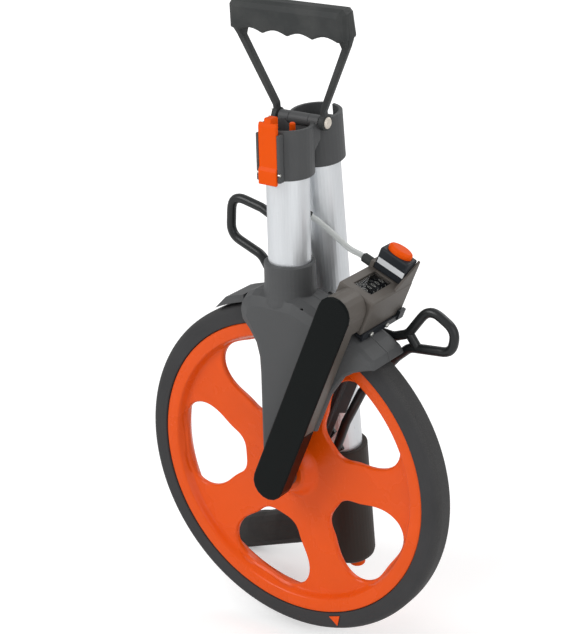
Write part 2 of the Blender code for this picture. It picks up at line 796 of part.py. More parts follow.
def fork_shell(name, way, outer):
    """Fork half on one side of the wheel; way is -1 for the front and 1 for the rear."""
    outline, rounds = fork_outline()
    shell = piece(name, pillow(outline, rounds, way * outer, way * GAP / 2), GROUND, DARK)
    wide = SHOULDER_HALF * 2
    high = COLLAR_TOP * 2
    join(shell, collar_flare(outer))
    keep_y = (-FORK_INNER, OVERRUN) if way < 0 else (-OVERRUN, FORK_INNER)
    inner_y = (-outer + FORK_WALL, OVERRUN) if way < 0 else (-OVERRUN, outer - FORK_WALL)
    cut(shell, cylinder(ARCH_RADIUS, *keep_y, "Y", steps=WHEEL_STEPS),
        cylinder(ARCH_RADIUS - ARCH_LIP * 0.8, *inner_y, "Y", steps=WHEEL_STEPS))
    other_y = (-GAP / 2, wide) if way < 0 else (-wide, GAP / 2)
    cut(shell, box((-wide, wide * 2), other_y, (ARCH_RADIUS - ARCH_LIP * 2, high)))
    hub_y = sorted((way * FORK_INNER, way * (outer - FORK_WALL / 2)))
    join(shell, cylinder(LEG_HUB, *hub_y, "Y", steps=32))
    rib_y = sorted((way * (FORK_INNER + OVERRUN), way * (outer - FORK_WALL / 2)))
    for side in (-1, 1):
        rib = box((side * RIB_OFFSET - RIB_THICK / 2, side * RIB_OFFSET + RIB_THICK / 2), rib_y,
                  (LEG_HUB - OVERRUN, ARCH_RADIUS - ARCH_LIP))
        join(shell, rib, parent=COUNTER)
    cut(shell, cylinder(TUBE_RADIUS + GAP, TUBE_FOOT - GAP, high, steps=40))
    return shell


def make_fork():
    front = fork_shell("fork_front_shell", -1, FORK_FRONT)
    reach = FORK_FRONT + OVERRUN
    cut(front, cylinder(NOSE_RADIUS + MOVING_GAP, -reach, 0, "Y", steps=32))
    rear = fork_shell("fork_rear_shell", 1, FORK_BACK)
    outer = ARCH_RADIUS + ARCH_WALL
    left = (-SHOULDER_HALF - GAP) / outer
    start = acos(left)
    band = arc(0, 0, ARCH_RADIUS, FENDER_TIP, FENDER_TIP, 1)[:1]
    band += arc(0, 0, outer, FENDER_TIP - FENDER_RAMP * 0.9, FENDER_TIP - FENDER_RAMP * 1.2, 1)
    band += arc(0, 0, outer, FENDER_TIP - 2 * FENDER_RAMP, start - radians(1), 3)
    band += arc(0, 0, ARCH_RADIUS, start - radians(1), FENDER_TIP, 5)[:-1]
    fender = plate([band], -FENDER_HALF, FORK_BACK - SINK)
    join(rear, fender)
    cut(rear, cylinder(AXLE_RADIUS + GAP, 0, reach, "Y", steps=24))
    cut(rear, box((-SHOULDER_HALF - GAP, outer), (-reach, GAP / 2), (0, COLLAR_TOP)))
    cut(rear, cylinder(ARCH_RADIUS, -reach, FORK_INNER, "Y", steps=WHEEL_STEPS))
    for side in (-1, 1):
        place = (side * SCREW_SPREAD, SCREW_HEIGHT)
        shank = cylinder(SCREW_RADIUS + GAP, -FORK_FRONT + FORK_WALL, reach, "Y", place, 16)
        head = cylinder(SCREW_HEAD + GAP, FORK_BACK - SCREW_HEAD_THICK - GAP, reach, "Y", place, 16)
        cut(rear, shank, head)
        cut(front, shank.copy())
    for name, side in (("fork_screw_left", -1), ("fork_screw_right", 1)):
        place = (side * SCREW_SPREAD, SCREW_HEIGHT)
        seat = FORK_BACK - SCREW_HEAD_THICK
        profile = ((0, FORK_BACK), (SCREW_HEAD, FORK_BACK), (SCREW_HEAD, seat), (SCREW_RADIUS, seat),
                   (SCREW_RADIUS, FORK_BACK - SCREW_LENGTH), (0, FORK_BACK - SCREW_LENGTH))
        piece(name, turned(profile, "Y", place, 16), GROUND, STEEL)


# Belt drive and counter

def make_belt_case():
    """Tray that holds the belt above the leg, with a neck to the counter at its top."""
    back = -CASE_BACK
    front = -COVER_FRONT + COVER_WALL + GAP
    radius = CASE_RADIUS
    outline = arc(0, COVER_REACH, radius, 0, pi, 10) + [(-radius, CASE_START), (radius, CASE_START)]
    case = piece("belt_case", plate([outline], front, back), COUNTER, DARK)
    neck = arc(0, COVER_REACH, radius, 0, pi, 10) + [(-radius, NECK_START), (radius, NECK_START)]
    join(case, plate([neck], back - SINK, -NECK_BACK))
    inner = radius - CASE_WALL
    room = arc(0, COVER_REACH, inner, 0, pi, 10) + [(-inner, 0), (inner, 0)]
    cut(case, plate([room], front - OVERRUN, back - CASE_BACK_WALL))
    cut(case, cylinder(SHAFT_RADIUS + MOVING_GAP, -COVER_FRONT, 0, "Y", (0, SHAFT_REACH), 16))


def make_belt_cover():
    """Glossy strip over the belt, with a deep skirt round the lower end."""
    front = -COVER_FRONT
    outline = stadium(COVER_RADIUS, COVER_REACH)
    cover = piece("belt_cover", pillow(outline, [COVER_EDGE] * len(outline), front, front + COVER_WALL, 2),
                  COUNTER, BLACK)
    skirt_end = CASE_START - GAP
    skirt_outer = [(COVER_RADIUS, skirt_end), (-COVER_RADIUS, skirt_end)]
    skirt_outer += arc(0, 0, COVER_RADIUS, pi, 2 * pi, 8)
    inner = COVER_RADIUS - COVER_WALL
    skirt_inner = [(inner, skirt_end + OVERRUN), (-inner, skirt_end + OVERRUN)]
    skirt_inner += arc(0, 0, inner, pi, 2 * pi, 8)
    skirt_front = front + COVER_WALL / 2
    skirt_back = -FORK_FRONT - GAP
    join(cover, plate([skirt_outer], skirt_front, skirt_back))
    cut(cover, plate([skirt_inner], front + COVER_WALL, skirt_back + OVERRUN))
    boss_back = -AXLE_FRONT + OVERRUN
    seat = AXLE_RADIUS + GAP
    join(cover, ring(seat, seat + COVER_WALL, skirt_front, boss_back, "Y", steps=24))


def make_belt():
    middle = -PULLEY_FRONT + PULLEY_WIDTH / 2
    inner = PULLEY_GROOVE + GAP
    outlines = [stadium(inner + BELT_THICK, SHAFT_REACH), stadium(inner, SHAFT_REACH)]
    piece("drive_belt", plate(outlines, middle - BELT_WIDTH / 2, middle + BELT_WIDTH / 2), COUNTER, RUBBER)


def make_drums():
    shaft_end = DRUM_FIRST - DRUM_COUNT * DRUM_PITCH
    shaft = cylinder(SHAFT_RADIUS, -PULLEY_FRONT, -shaft_end + HOUSING_WALL, "Y", (0, SHAFT_REACH), 20)
    piece("counter_shaft", shaft, COUNTER, STEEL)
    pulley_axis = frame("counter_pulley_axis", COUNTER, (0, 0, SHAFT_REACH))
    pulley(SHAFT_RADIUS + GAP, pulley_axis, "counter_pulley")
    for index in range(DRUM_COUNT):
        start = -DRUM_FIRST + index * DRUM_PITCH + GAP
        end = start + DRUM_PITCH - 2 * GAP
        profile = ((DRUM_RADIUS, end), (DRUM_RADIUS, start), (SHAFT_RADIUS + GAP, start),
                   (SHAFT_RADIUS + GAP, end))
        piece("number_drum_%d" % (index + 1), turned(profile, "Y", steps=20), COUNTER, BLACK,
              (0, 0, SHAFT_REACH))


def make_housing():
    """Counter case with drum chamber, window and the slanting cheek beside the raised block."""
    shape = softened(box((-HOUSING_LEFT, HOUSING_RIGHT), (-HOUSING_FRONT, HOUSING_BACK),
                         (HOUSING_FOOT, HOUSING_TOP)), HOUSING_EDGE)
    housing = piece("counter_housing", shape, COUNTER, DARK)
    cheek_y = BLOCK_FRONT - CHEEK_LOW / 2
    cheek = [(cheek_y, HOUSING_TOP - SINK), (cheek_y, HOUSING_TOP + SINK),
             (HOUSING_BACK - HOUSING_EDGE, BLOCK_TOP), (HOUSING_BACK - SINK, BLOCK_TOP - SINK),
             (HOUSING_BACK - SINK, HOUSING_TOP - SINK)]
    cheek_end = HOUSING_RIGHT - HOUSING_EDGE / 4
    join(housing, plate([cheek], cheek_end - CHEEK_THICK, cheek_end, "X"))
    pad_top = BOOT_REACH + BOOT_RADIUS * 1.15
    pad_y = (BOOT_DEEP - BOOT_RADIUS * 1.2, BOOT_DEEP + BOOT_RADIUS * 1.2)
    pad_z = (HOUSING_TOP - HOUSING_EDGE * 2, pad_top)
    join(housing, box((-HOUSING_LEFT, -BLOCK_LEFT - GAP), pad_y, pad_z))
    chamber_half = DRUM_RADIUS + MOVING_GAP
    chamber = box((-chamber_half, chamber_half), (-WINDOW_FRONT, WINDOW_BACK),
                  (SHAFT_REACH - chamber_half, HOUSING_TOP - LENS_SET - LENS_THICK - LEDGE))
    opening = box((-WINDOW_LEFT, WINDOW_RIGHT), (-WINDOW_FRONT + LEDGE, WINDOW_BACK - LEDGE),
                  (SHAFT_REACH, HOUSING_TOP + OVERRUN))
    rebate = box((-WINDOW_LEFT - LEDGE, WINDOW_RIGHT + LEDGE), (-WINDOW_FRONT, WINDOW_BACK),
                 (HOUSING_TOP - LENS_SET - LENS_THICK, HOUSING_TOP + OVERRUN))
    shaft = cylinder(SHAFT_RADIUS + GAP, -HOUSING_FRONT - OVERRUN, WINDOW_BACK + HOUSING_WALL * 2, "Y",
                     (0, SHAFT_REACH), 16)
    cut(housing, chamber, opening, rebate, shaft)
    lens = box((-WINDOW_LEFT - LEDGE + GAP, WINDOW_RIGHT + LEDGE - GAP),
               (-WINDOW_FRONT + GAP, WINDOW_BACK - GAP),
               (HOUSING_TOP - LENS_SET - LENS_THICK + GAP, HOUSING_TOP - LENS_SET))
    piece("counter_window", lens, COUNTER, CLEAR)


def make_block():
    """Raised block behind the window with the reset button in its top and a bare label."""
    back = HOUSING_BACK - HOUSING_EDGE
    shape = softened(box((-BLOCK_LEFT, BLOCK_RIGHT), (BLOCK_FRONT, back), (HOUSING_TOP + GAP, BLOCK_TOP)),
                     HOUSING_EDGE)
    block = piece("reset_block", shape, COUNTER, BLACK)
    middle = (BLOCK_RIGHT - BLOCK_LEFT) / 2
    well = oval(middle, RESET_CENTRE, RESET_HALF_WIDE + GAP, RESET_HALF_DEEP + GAP)
    cut(block, plate([well], BLOCK_TOP - RESET_SUNK - RESET_TRAVEL, BLOCK_TOP + OVERRUN, "Z"))
    label = box((-BLOCK_LEFT + LABEL_INSET, BLOCK_RIGHT - GAP),
                (BLOCK_FRONT - GAP - LABEL_THICK, BLOCK_FRONT - GAP), (LABEL_LOW, LABEL_HIGH))
    piece("label_plate", label, COUNTER, WHITE)
    button = plate([oval(middle, RESET_CENTRE, RESET_HALF_WIDE, RESET_HALF_DEEP)],
                   BLOCK_TOP - RESET_SUNK, BLOCK_TOP + RESET_PROUD, "Z")
    piece("reset_button", softened(button, RESET_ROUND, 3), COUNTER, ORANGE)


def make_boot():
    start = -HOUSING_LEFT - GAP
    end = start - BOOT_LENGTH
    profile = ((0, start), (BOOT_RADIUS, start), (BOOT_RADIUS, end + COVER_EDGE),
               (BOOT_RADIUS - COVER_EDGE, end), (0, end))
    place = (BOOT_DEEP, BOOT_REACH)
    boot = piece("cable_boot", turned(profile, "X", place, 24), COUNTER, RUBBER)
    cut(boot, cylinder(HOSE_RADIUS + GAP, end - OVERRUN, end + BOOT_LENGTH / 2, "X", place, 20))


def make_bracket():
    """Bent plate that ties the counter to the fender, with its screws."""
    right = HOUSING_RIGHT + FLANGE_THICK + GAP
    base = box((-HOUSING_LEFT + SINK, right - SINK / 2),
               (-HOUSING_FRONT + GAP, HOUSING_BACK - HOUSING_WALL),
               (HOUSING_FOOT - GAP - BRACKET_THICK, HOUSING_FOOT - GAP))
    bracket = piece("counter_bracket", base, COUNTER, BLACK)
    flange_front = -HOUSING_FRONT + GAP
    flange_back = HOUSING_BACK - HOUSING_WALL
    flange = box((right - FLANGE_THICK, right), (flange_front, flange_back),
                 (FLANGE_FOOT, HOUSING_FOOT + TAB_LENGTH / 3))
    tab = box((right - FLANGE_THICK, right + SINK), (flange_back - TAB_LENGTH, flange_back + OVERRUN),
              (HOUSING_FOOT - BRACKET_THICK, HOUSING_FOOT + TAB_LENGTH))
    join(bracket, flange, tab)
    seat = right + GAP
    for name, share in (("bracket_screw_front", 0.22), ("bracket_screw_rear", 0.62)):
        depth = flange_front + (flange_back - flange_front) * share
        profile = ((0, seat + SCREW_RADIUS), (BRACKET_SCREW * 0.7, seat + SCREW_RADIUS),
                   (BRACKET_SCREW, seat + SCREW_RADIUS / 2), (BRACKET_SCREW, seat), (0, seat))
        piece(name, turned(profile, "X", (depth, HOUSING_FOOT - SINK), 16), COUNTER, STEEL)


def make_counter():
    make_belt_case()
    make_belt_cover()
    make_belt()
    make_drums()
    make_housing()
    make_block()
    make_boot()
    make_bracket()


# Reset cable between the tube and the counter

def cable_path():
    """Route from the grommet into the boot, with its last stretch along the boot's axis."""
    start = -HOUSING_LEFT - GAP - BOOT_LENGTH
    ends = [tilted(start - BOOT_LENGTH * 0.35, BOOT_REACH), tilted(start + BOOT_LENGTH * 0.4, BOOT_REACH)]
    last = [(x, BOOT_DEEP, z) for x, z in ends]
    return bend(list(HOSE_ROUTE) + last, BOOT_LENGTH, 1)


def make_cable():
    path = cable_path()
    piece("reset_cable_hose", hose(path, HOSE_RADIUS, HOSE_RADIUS - HOSE_BORE), GROUND, CLEAR)
    piece("reset_cable_core", rod(path, CORE_RADIUS, 1), GROUND, BLACK)


def make_lower_tube():
    tube = piece("lower_tube", ring(TUBE_RADIUS - TUBE_WALL, TUBE_RADIUS, TUBE_FOOT, TUBE_TOP, steps=40),
                 GROUND, ALUMINIUM)
    start = Vector(HOSE_ROUTE[0])
    way = (Vector(HOSE_ROUTE[1]) - start).normalized()
    turn = way.to_track_quat("Z", "Y").to_matrix().to_4x4()
    hole = cylinder(GROMMET_RADIUS - SINK, -OVERRUN * 3, OVERRUN * 3, steps=20)
    hole.transform(Matrix.Translation(start) @ turn)
    cut(tube, hole)
    grommet = ring(HOSE_RADIUS + GAP, GROMMET_RADIUS, 0, GROMMET_THICK, steps=20)
    grommet.transform(Matrix.Translation(start) @ turn)
    made = piece("cable_grommet", grommet, GROUND, RUBBER)
    cut(made, cylinder(TUBE_RADIUS + GAP, TUBE_FOOT, TUBE_TOP, steps=40))


# Lower socket, hinge and latch

def socket_sleeve(tube_end):
    """Sleeve with its rim at zero and its foot below, wide at the mouth and close on the tube."""
    foot = -SOCKET_LENGTH
    close = TUBE_RADIUS + GAP
    edge = COVER_EDGE
    profile = ((SOCKET_RADIUS - edge / 2, 0), (SOCKET_RADIUS, -edge / 2), (SOCKET_RADIUS, foot + edge),
               (SOCKET_RADIUS - edge, foot), (close, foot), (close, tube_end), (SOCKET_MOUTH, tube_end),
               (SOCKET_MOUTH, 0))
    return turned(profile, steps=36)


def make_lower_socket():
    seat = TUBE_TOP + GAP - RIM_HEIGHT
    sleeve = socket_sleeve(seat)
    sleeve.transform(Matrix.Translation((0, 0, RIM_HEIGHT)))
    socket = piece("lower_socket", sleeve, GROUND, DARK)
    foot = RIM_HEIGHT - SOCKET_LENGTH
    cheeks = box((-CHEEK_HALF, CHEEK_HALF), (-LATCH_FRONT, -SOCKET_MOUTH - SINK), (foot, CHEEK_TOP))
    join(socket, softened(cheeks, LATCH_EDGE))
    slot = LATCH_HALF + GAP
    tall = (foot - OVERRUN, RIM_HEIGHT + OVERRUN)
    cut(socket, box((-slot, slot), (-LATCH_FRONT * 2, -LATCH_BACK + GAP), tall))
    wide = SOCKET_RADIUS * 2
    cut(socket, box((-wide, wide), (HINGE_OFFSET - GAP, wide), tall))
    axis = (HINGE_OFFSET, RIM_HEIGHT)
    clear = BARREL_RADIUS + GAP
    cut(socket, cylinder(clear, -wide, wide, "X", axis, 24))
    near = HINGE_OFFSET - 2 * GAP
    arch = RIM_HEIGHT - WEB_DEPTH - BARREL_RADIUS
    web = [(near, RIM_HEIGHT - BARREL_RADIUS / 2), (near, arch), (near - WEB_REACH, arch - BARREL_RADIUS),
           (near - WEB_REACH, RIM_HEIGHT - BARREL_RADIUS / 2)]
    side_plate = [(near, RIM_HEIGHT - SINK / 2), (near, arch), (near - SIDE_REACH, arch - SIDE_REACH),
                  (near - SIDE_REACH, RIM_HEIGHT - SINK / 2)]
    for side in (-1, 1):
        ends = sorted((side * (KNUCKLE_HALF + GAP), side * BARREL_HALF))
        join(socket, cylinder(BARREL_RADIUS, *ends, "X", axis, 24))
        ends = sorted((side * (KNUCKLE_HALF + SINK), side * (BARREL_HALF - SINK)))
        join(socket, plate([web], *ends, "X"))
        ends = sorted((side * (BARREL_HALF - SIDE_THICK), side * (BARREL_HALF - SINK / 2)))
        join(socket, plate([side_plate], *ends, "X"))
    cut(socket, cylinder(BOLT_RADIUS + GAP, -wide, wide, "X", axis, 20))
    pin = cylinder(LATCH_PIN_RADIUS + GAP, -CHEEK_HALF - OVERRUN, CHEEK_HALF + OVERRUN, "X",
                   (-LATCH_PIN_DEPTH, LATCH_PIN_HEIGHT), 16)
    cut(socket, pin)
    middle = (LATCH_STEP + RIM_HEIGHT) / 2
    pocket = box((-SPRING_WIDTH, SPRING_WIDTH), (-LATCH_BACK, -LATCH_BACK + GAP + SPRING_POCKET),
                 (middle - SPRING_LENGTH / 2 - GAP, middle + SPRING_LENGTH / 2 + GAP))
    cut(socket, pocket)
    leaf_back = -LATCH_BACK + SPRING_POCKET
    leaf = [(leaf_back, middle - SPRING_LENGTH / 2), (leaf_back, middle + SPRING_LENGTH / 2),
            (leaf_back - SPRING_THICK, middle + SPRING_LENGTH / 2),
            (-LATCH_BACK + GAP, middle), (leaf_back - SPRING_THICK, middle - SPRING_LENGTH / 2)]
    half = SPRING_WIDTH - GAP * 2
    piece("latch_spring", plate([leaf], -half, half, "X"), GROUND, STEEL)


def make_hinge():
    axis = (HINGE_OFFSET, RIM_HEIGHT)
    outer = LUG_INNER + LUG_WIDTH + GAP
    profile = [(0, outer + BOLT_HEAD_THICK)]
    for step in range(4):
        share = (step + 1) / 4
        profile.append((BOLT_HEAD * sin(pi / 2 * share), outer + BOLT_HEAD_THICK * cos(pi / 2 * share)))
    profile[-1] = (BOLT_HEAD, outer + BOLT_HEAD_THICK * 0.25)
    profile += [(BOLT_HEAD, outer), (BOLT_RADIUS, outer), (BOLT_RADIUS, -outer - NUT_THICK * 0.6),
                (0, -outer - NUT_THICK * 0.6)]
    piece("hinge_bolt", turned(profile, "X", axis, 24), GROUND, STEEL)
    shape = cylinder(BOLT_HEAD, -outer - NUT_THICK * 0.7, -outer, "X", axis, 6)
    nut = piece("hinge_nut", shape, GROUND, STEEL)
    cut(nut, cylinder(BOLT_RADIUS + GAP, -outer * 2, 0, "X", axis, 20))


def make_latch():
    """Lever in the socket's cheeks whose hook reaches over the rim."""
    down = -LATCH_PIN_HEIGHT
    deep = LATCH_PIN_DEPTH
    step_front = -LATCH_FRONT - LATCH_STEP_DEPTH
    side = [
        (step_front, LATCH_TAIL), (step_front, LATCH_STEP - LATCH_STEP_DEPTH),
        (-LATCH_FRONT, LATCH_STEP + LATCH_STEP_DEPTH), (-LATCH_FRONT, LATCH_TOP - 2 * LATCH_STEP_DEPTH),
        (-LATCH_FRONT + LATCH_EDGE, LATCH_TOP), (-LATCH_BACK, LATCH_TOP), (-LATCH_BACK, LATCH_PIN_HEIGHT),
        (-LATCH_FRONT + LATCH_EDGE, LATCH_TAIL),
    ]
    outline = [(y + deep, z + down) for y, z in side]
    lever = plate([outline], -LATCH_HALF, LATCH_HALF, "X")
    latch = piece("latch", softened(lever, LATCH_EDGE / 2, 1), LATCH, ORANGE)
    nib = [(-LATCH_FRONT + LATCH_EDGE, RIM_HEIGHT + LATCH_EDGE),
           (-LATCH_FRONT + LATCH_EDGE, NIB_TOP - LATCH_EDGE),
           (-LATCH_FRONT + 2 * LATCH_EDGE, NIB_TOP), (-NIB_INNER - LATCH_EDGE, NIB_TOP),
           (-NIB_INNER, NIB_TOP - LATCH_EDGE), (-NIB_INNER, RIM_HEIGHT + LATCH_EDGE)]
    join(latch, plate([[(y + deep, z + down) for y, z in nib]], -NIB_HALF, NIB_HALF, "X"))
    cut(latch, cylinder(LATCH_PIN_RADIUS + GAP, -CHEEK_HALF, CHEEK_HALF, "X", steps=16))
    end = CHEEK_HALF - GAP
    pin = cylinder(LATCH_PIN_RADIUS, -end, end, "X", (-deep, LATCH_PIN_HEIGHT), 16)
    piece("latch_pin", pin, GROUND, STEEL)


def make_peg():
    """Guide in the tube's mouth and the orange peg that passes the reset push on."""
    top = TUBE_TOP - GAP
    bottom = top - GUIDE_THICK
    at = (PEG_OFFSET, 0)
    disc = cylinder(TUBE_RADIUS - TUBE_WALL - GAP, bottom, top, steps=32)
    guide = piece("peg_guide", disc, GROUND, BLACK)
    cut(guide, cylinder(PEG_RADIUS + GAP, bottom - GUIDE_THICK, RIM_HEIGHT, at=at, steps=20))
    flange = top + GAP + PEG_TRAVEL
    profile = ((0, PEG_TOP), (PEG_RADIUS * 0.7, PEG_TOP), (PEG_RADIUS, PEG_TOP - PEG_RADIUS * 0.4),
               (PEG_RADIUS, flange + OVERRUN), (PEG_FLANGE, flange + OVERRUN), (PEG_FLANGE, flange),
               (PEG_RADIUS, flange), (PEG_RADIUS, bottom - GAP), (0, bottom - GAP))
    piece("coupling_peg", turned(profile, at=at, steps=20), GROUND, ORANGE)


# Upper pole, hanging folded from the hinge; down the pole is negative Z in its frame

def make_upper_socket():
    seat = -SOCKET_LENGTH / 2
    sleeve = socket_sleeve(seat)
    sleeve.transform(Matrix.Translation((0, HINGE_OFFSET, -GAP)))
    socket = piece("upper_socket", sleeve, HINGE, DARK)
    back = HINGE_OFFSET + SOCKET_RADIUS
    lug = softened(box((-CATCH_HALF, CATCH_HALF), (back - CATCH_DEPTH, back + CATCH_DEPTH),
                       (-CATCH_TOP - CATCH_LENGTH, -CATCH_TOP)), COVER_EDGE / 2, 1)
    join(socket, lug)
    wide = SOCKET_RADIUS * 2
    cut(socket, box((-wide, wide), (-wide, GAP), (-SOCKET_LENGTH - OVERRUN, OVERRUN)))
    clear = BARREL_RADIUS + GAP
    cut(socket, cylinder(clear, -wide, wide, "X", steps=24))
    join(socket, cylinder(BARREL_RADIUS, -KNUCKLE_HALF, KNUCKLE_HALF, "X", steps=24))
    arch = -WEB_DEPTH - BARREL_RADIUS
    web = [(2 * GAP, -BARREL_RADIUS / 2), (2 * GAP, arch), (BARREL_RADIUS / 2, arch - BARREL_RADIUS),
           (BARREL_RADIUS / 2, -BARREL_RADIUS / 2)]
    join(socket, plate([web], -KNUCKLE_HALF + SINK, KNUCKLE_HALF - SINK, "X"))
    notch = NIB_HALF + 2 * GAP
    inside = HINGE_OFFSET + NIB_INNER
    cut(socket, box((-notch, notch), (inside, wide * 2), (-CATCH_TOP + GAP, OVERRUN)))
    cut(socket, cylinder(BOLT_RADIUS + GAP, -wide, wide, "X", steps=20))


def make_upper_tube():
    at = (0, HINGE_OFFSET)
    start = -SOCKET_LENGTH / 2 - GAP
    tube = ring(TUBE_RADIUS - TUBE_WALL, TUBE_RADIUS, -UPPER_TUBE_END, start, at=at, steps=40)
    piece("upper_tube", tube, HINGE, ALUMINIUM)
    top = start - SINK
    disc = cylinder(TUBE_RADIUS - TUBE_WALL - GAP, top - GUIDE_THICK, top, at=at, steps=32)
    guide = piece("rod_guide", disc, HINGE, BLACK)
    rod_at = (PEG_OFFSET, HINGE_OFFSET)
    cut(guide, cylinder(ROD_RADIUS + GAP, start - 2 * GUIDE_THICK, 0, at=rod_at, steps=16))


def grip_matrix():
    """Frame of the pistol grip: its Z runs from the body's axis out along the grip."""
    start = Matrix.Translation((0, HINGE_OFFSET, -GRIP_LEAVES))
    return start @ Matrix.Rotation(-pi / 2 - GRIP_SLOPE, 4, "Y")


def make_handle():
    at = (0, HINGE_OFFSET)
    bottom = []
    for step in range(4):
        turn = pi / 2 * step / 3
        bottom.append((BODY_RADIUS - BODY_ROUND * (1 - cos(turn)),
                       -BODY_END + BODY_ROUND * (1 - sin(turn))))
    edge = COVER_EDGE
    profile = [(0, -BODY_START), (BODY_RADIUS - edge, -BODY_START), (BODY_RADIUS, -BODY_START - edge)]
    profile += bottom + [(0, -BODY_END)]
    body = piece("handle_body", turned(profile, at=at, steps=40), HINGE, DARK)
    core = cylinder(GRIP_CORE, 0, GRIP_LENGTH, steps=28)
    core.transform(grip_matrix())
    join(body, core)
    close = TUBE_RADIUS + GAP
    cut(body, cylinder(close, -UPPER_TUBE_END - GAP, 0, at=at, steps=40))
    room = PEG_RADIUS + MOVING_GAP
    cut(body, cylinder(room, -BODY_END + BODY_ROUND, -BODY_START, at=(PEG_OFFSET, HINGE_OFFSET), steps=16))
    cut(body, cylinder(THUMB_RADIUS + GAP, -BODY_END - OVERRUN, -BODY_END + THUMB_SUNK + PEG_TRAVEL,
                       at=(THUMB_OFFSET, HINGE_OFFSET), steps=24))
    for index in range(2):
        height = -BODY_START - HANDLE_SCREW_STEP * (0.6 + 2 * index)
        place = (0, height)
        front = HINGE_OFFSET + BODY_RADIUS
        seat = front - SCREW_HEAD_THICK
        cut(body, cylinder(SCREW_HEAD + GAP, seat - GAP, front + OVERRUN, "Y", place, 16))
        profile = ((0, front - GAP * 2), (SCREW_HEAD, front - GAP * 2), (SCREW_HEAD, seat), (0, seat))
        piece("handle_screw_%d" % (index + 1), turned(profile, "Y", place, 16), HINGE, STEEL)


def make_grip():
    """Rubber sleeve with shallow finger waves and a closed end."""
    count = 16
    start = BODY_RADIUS * 0.6
    cap = GRIP_LENGTH + GRIP_CAP
    rings = []
    stations = 14
    for step in range(stations + 1):
        along = start + (cap - start) * step / stations
        from_end = (cap - along) / GRIP_CAP
        shrink = 0 if from_end > 1 else GRIP_CAP * (1 - sqrt(max(0, 1 - (1 - from_end) ** 2)))
        wave = GRIP_WAVE * sin(pi * GRIP_WAVES * (along - start) / (cap - start)) ** 2
        points = []
        for i in range(count):
            turn = 2 * pi * i / count
            radius = GRIP_RADIUS - shrink - wave * max(0, cos(turn))
            points.append((radius * cos(turn), radius * sin(turn), along))
        rings.append(points)
    shape = loft(rings)
    shape.transform(grip_matrix())
    grip = piece("grip_sleeve", shape, HINGE, RUBBER)
    hollow = cylinder(GRIP_CORE + GAP, 0, GRIP_LENGTH + GAP, steps=28)
    hollow.transform(grip_matrix())
    clear = cylinder(BODY_RADIUS + GAP, -BODY_END * 1.1, -BODY_START, at=(0, HINGE_OFFSET), steps=40)
    cut(grip, hollow, clear)


def make_thumb_button():
    low = -BODY_END - THUMB_PROUD
    high = -BODY_END + THUMB_SUNK
    profile = ((0, high), (THUMB_RADIUS, high), (THUMB_RADIUS, low + THUMB_ROUND),
               (THUMB_RADIUS - THUMB_ROUND * 0.3, low + THUMB_ROUND * 0.3),
               (THUMB_RADIUS - THUMB_ROUND, low), (0, low))
    key = turned(profile, at=(THUMB_OFFSET, HINGE_OFFSET), steps=24)
    piece("thumb_button", key, HINGE, ORANGE)
    top = -SOCKET_LENGTH / 2 + PEG_TRAVEL + ROD_REACH
    push = cylinder(ROD_RADIUS, high + GAP, top, at=(PEG_OFFSET, HINGE_OFFSET), steps=16)
    piece("push_rod", push, HINGE, STEEL)


def make_upper_pole():
    make_upper_socket()
    make_upper_tube()
    make_handle()
    make_grip()
    make_thumb_button()


# Carry handle on the hinge bolt

def carry_outline():
    """Half outline of the bail in (x, z), from the lug up the outside and back down the inside."""
    lug_outer = LUG_INNER + LUG_WIDTH
    inner_knee = LUG_INNER
    wall = CARRY_LEG_WIDTH * 0.62
    side_inner = CARRY_HALF - CARRY_LEG_WIDTH
    outer = [(lug_outer, -LUG_RADIUS * 0.8), (lug_outer, CARRY_KNEE - wall * 0.2),
             (CARRY_HALF - wall * 0.3, CARRY_SHOULDER), (CARRY_HALF, CARRY_SHOULDER + wall),
             (CARRY_HALF, CARRY_GRIP_TOP - wall), (CARRY_HALF - wall * 0.4, CARRY_GRIP_TOP - wall * 0.25),
             (CARRY_HALF - wall, CARRY_GRIP_TOP)]
    inner = [(side_inner - wall * 0.8, CARRY_GRIP_LOW),
             (side_inner - wall * 0.1, CARRY_GRIP_LOW - wall * 0.8), (side_inner, CARRY_SHOULDER),
             (inner_knee, CARRY_KNEE + wall * 0.2), (inner_knee, -LUG_RADIUS * 0.8)]
    return outer, inner


def carry_taper(side):
    """Solid that narrows from the deep grip to the flat leg at one end of the bail."""
    high = CARRY_GRIP_LOW + CARRY_WAVE
    rings = []
    for step in range(5):
        share = step / 4
        ease = share * share * (3 - 2 * share)
        half = (CARRY_GRIP_DEPTH * (1 - ease) + LEG_DEPTH * ease) / 2 - GAP
        z = high - (CARRY_TAPER + CARRY_WAVE) * share
        outer = CARRY_HALF - 2 * GAP - CARRY_WAVE * share * share
        inner = CARRY_HALF - CARRY_LEG_WIDTH * (1.25 - 0.2 * share)
        round_off = half * 0.3
        rings.append([(side * x, y, z) for x, y in (
            (inner, -half + round_off), (inner + round_off, -half), (outer - round_off, -half),
            (outer, -half + round_off), (outer, half - round_off), (outer - round_off, half),
            (inner + round_off, half), (inner, half - round_off))])
    return loft(rings)


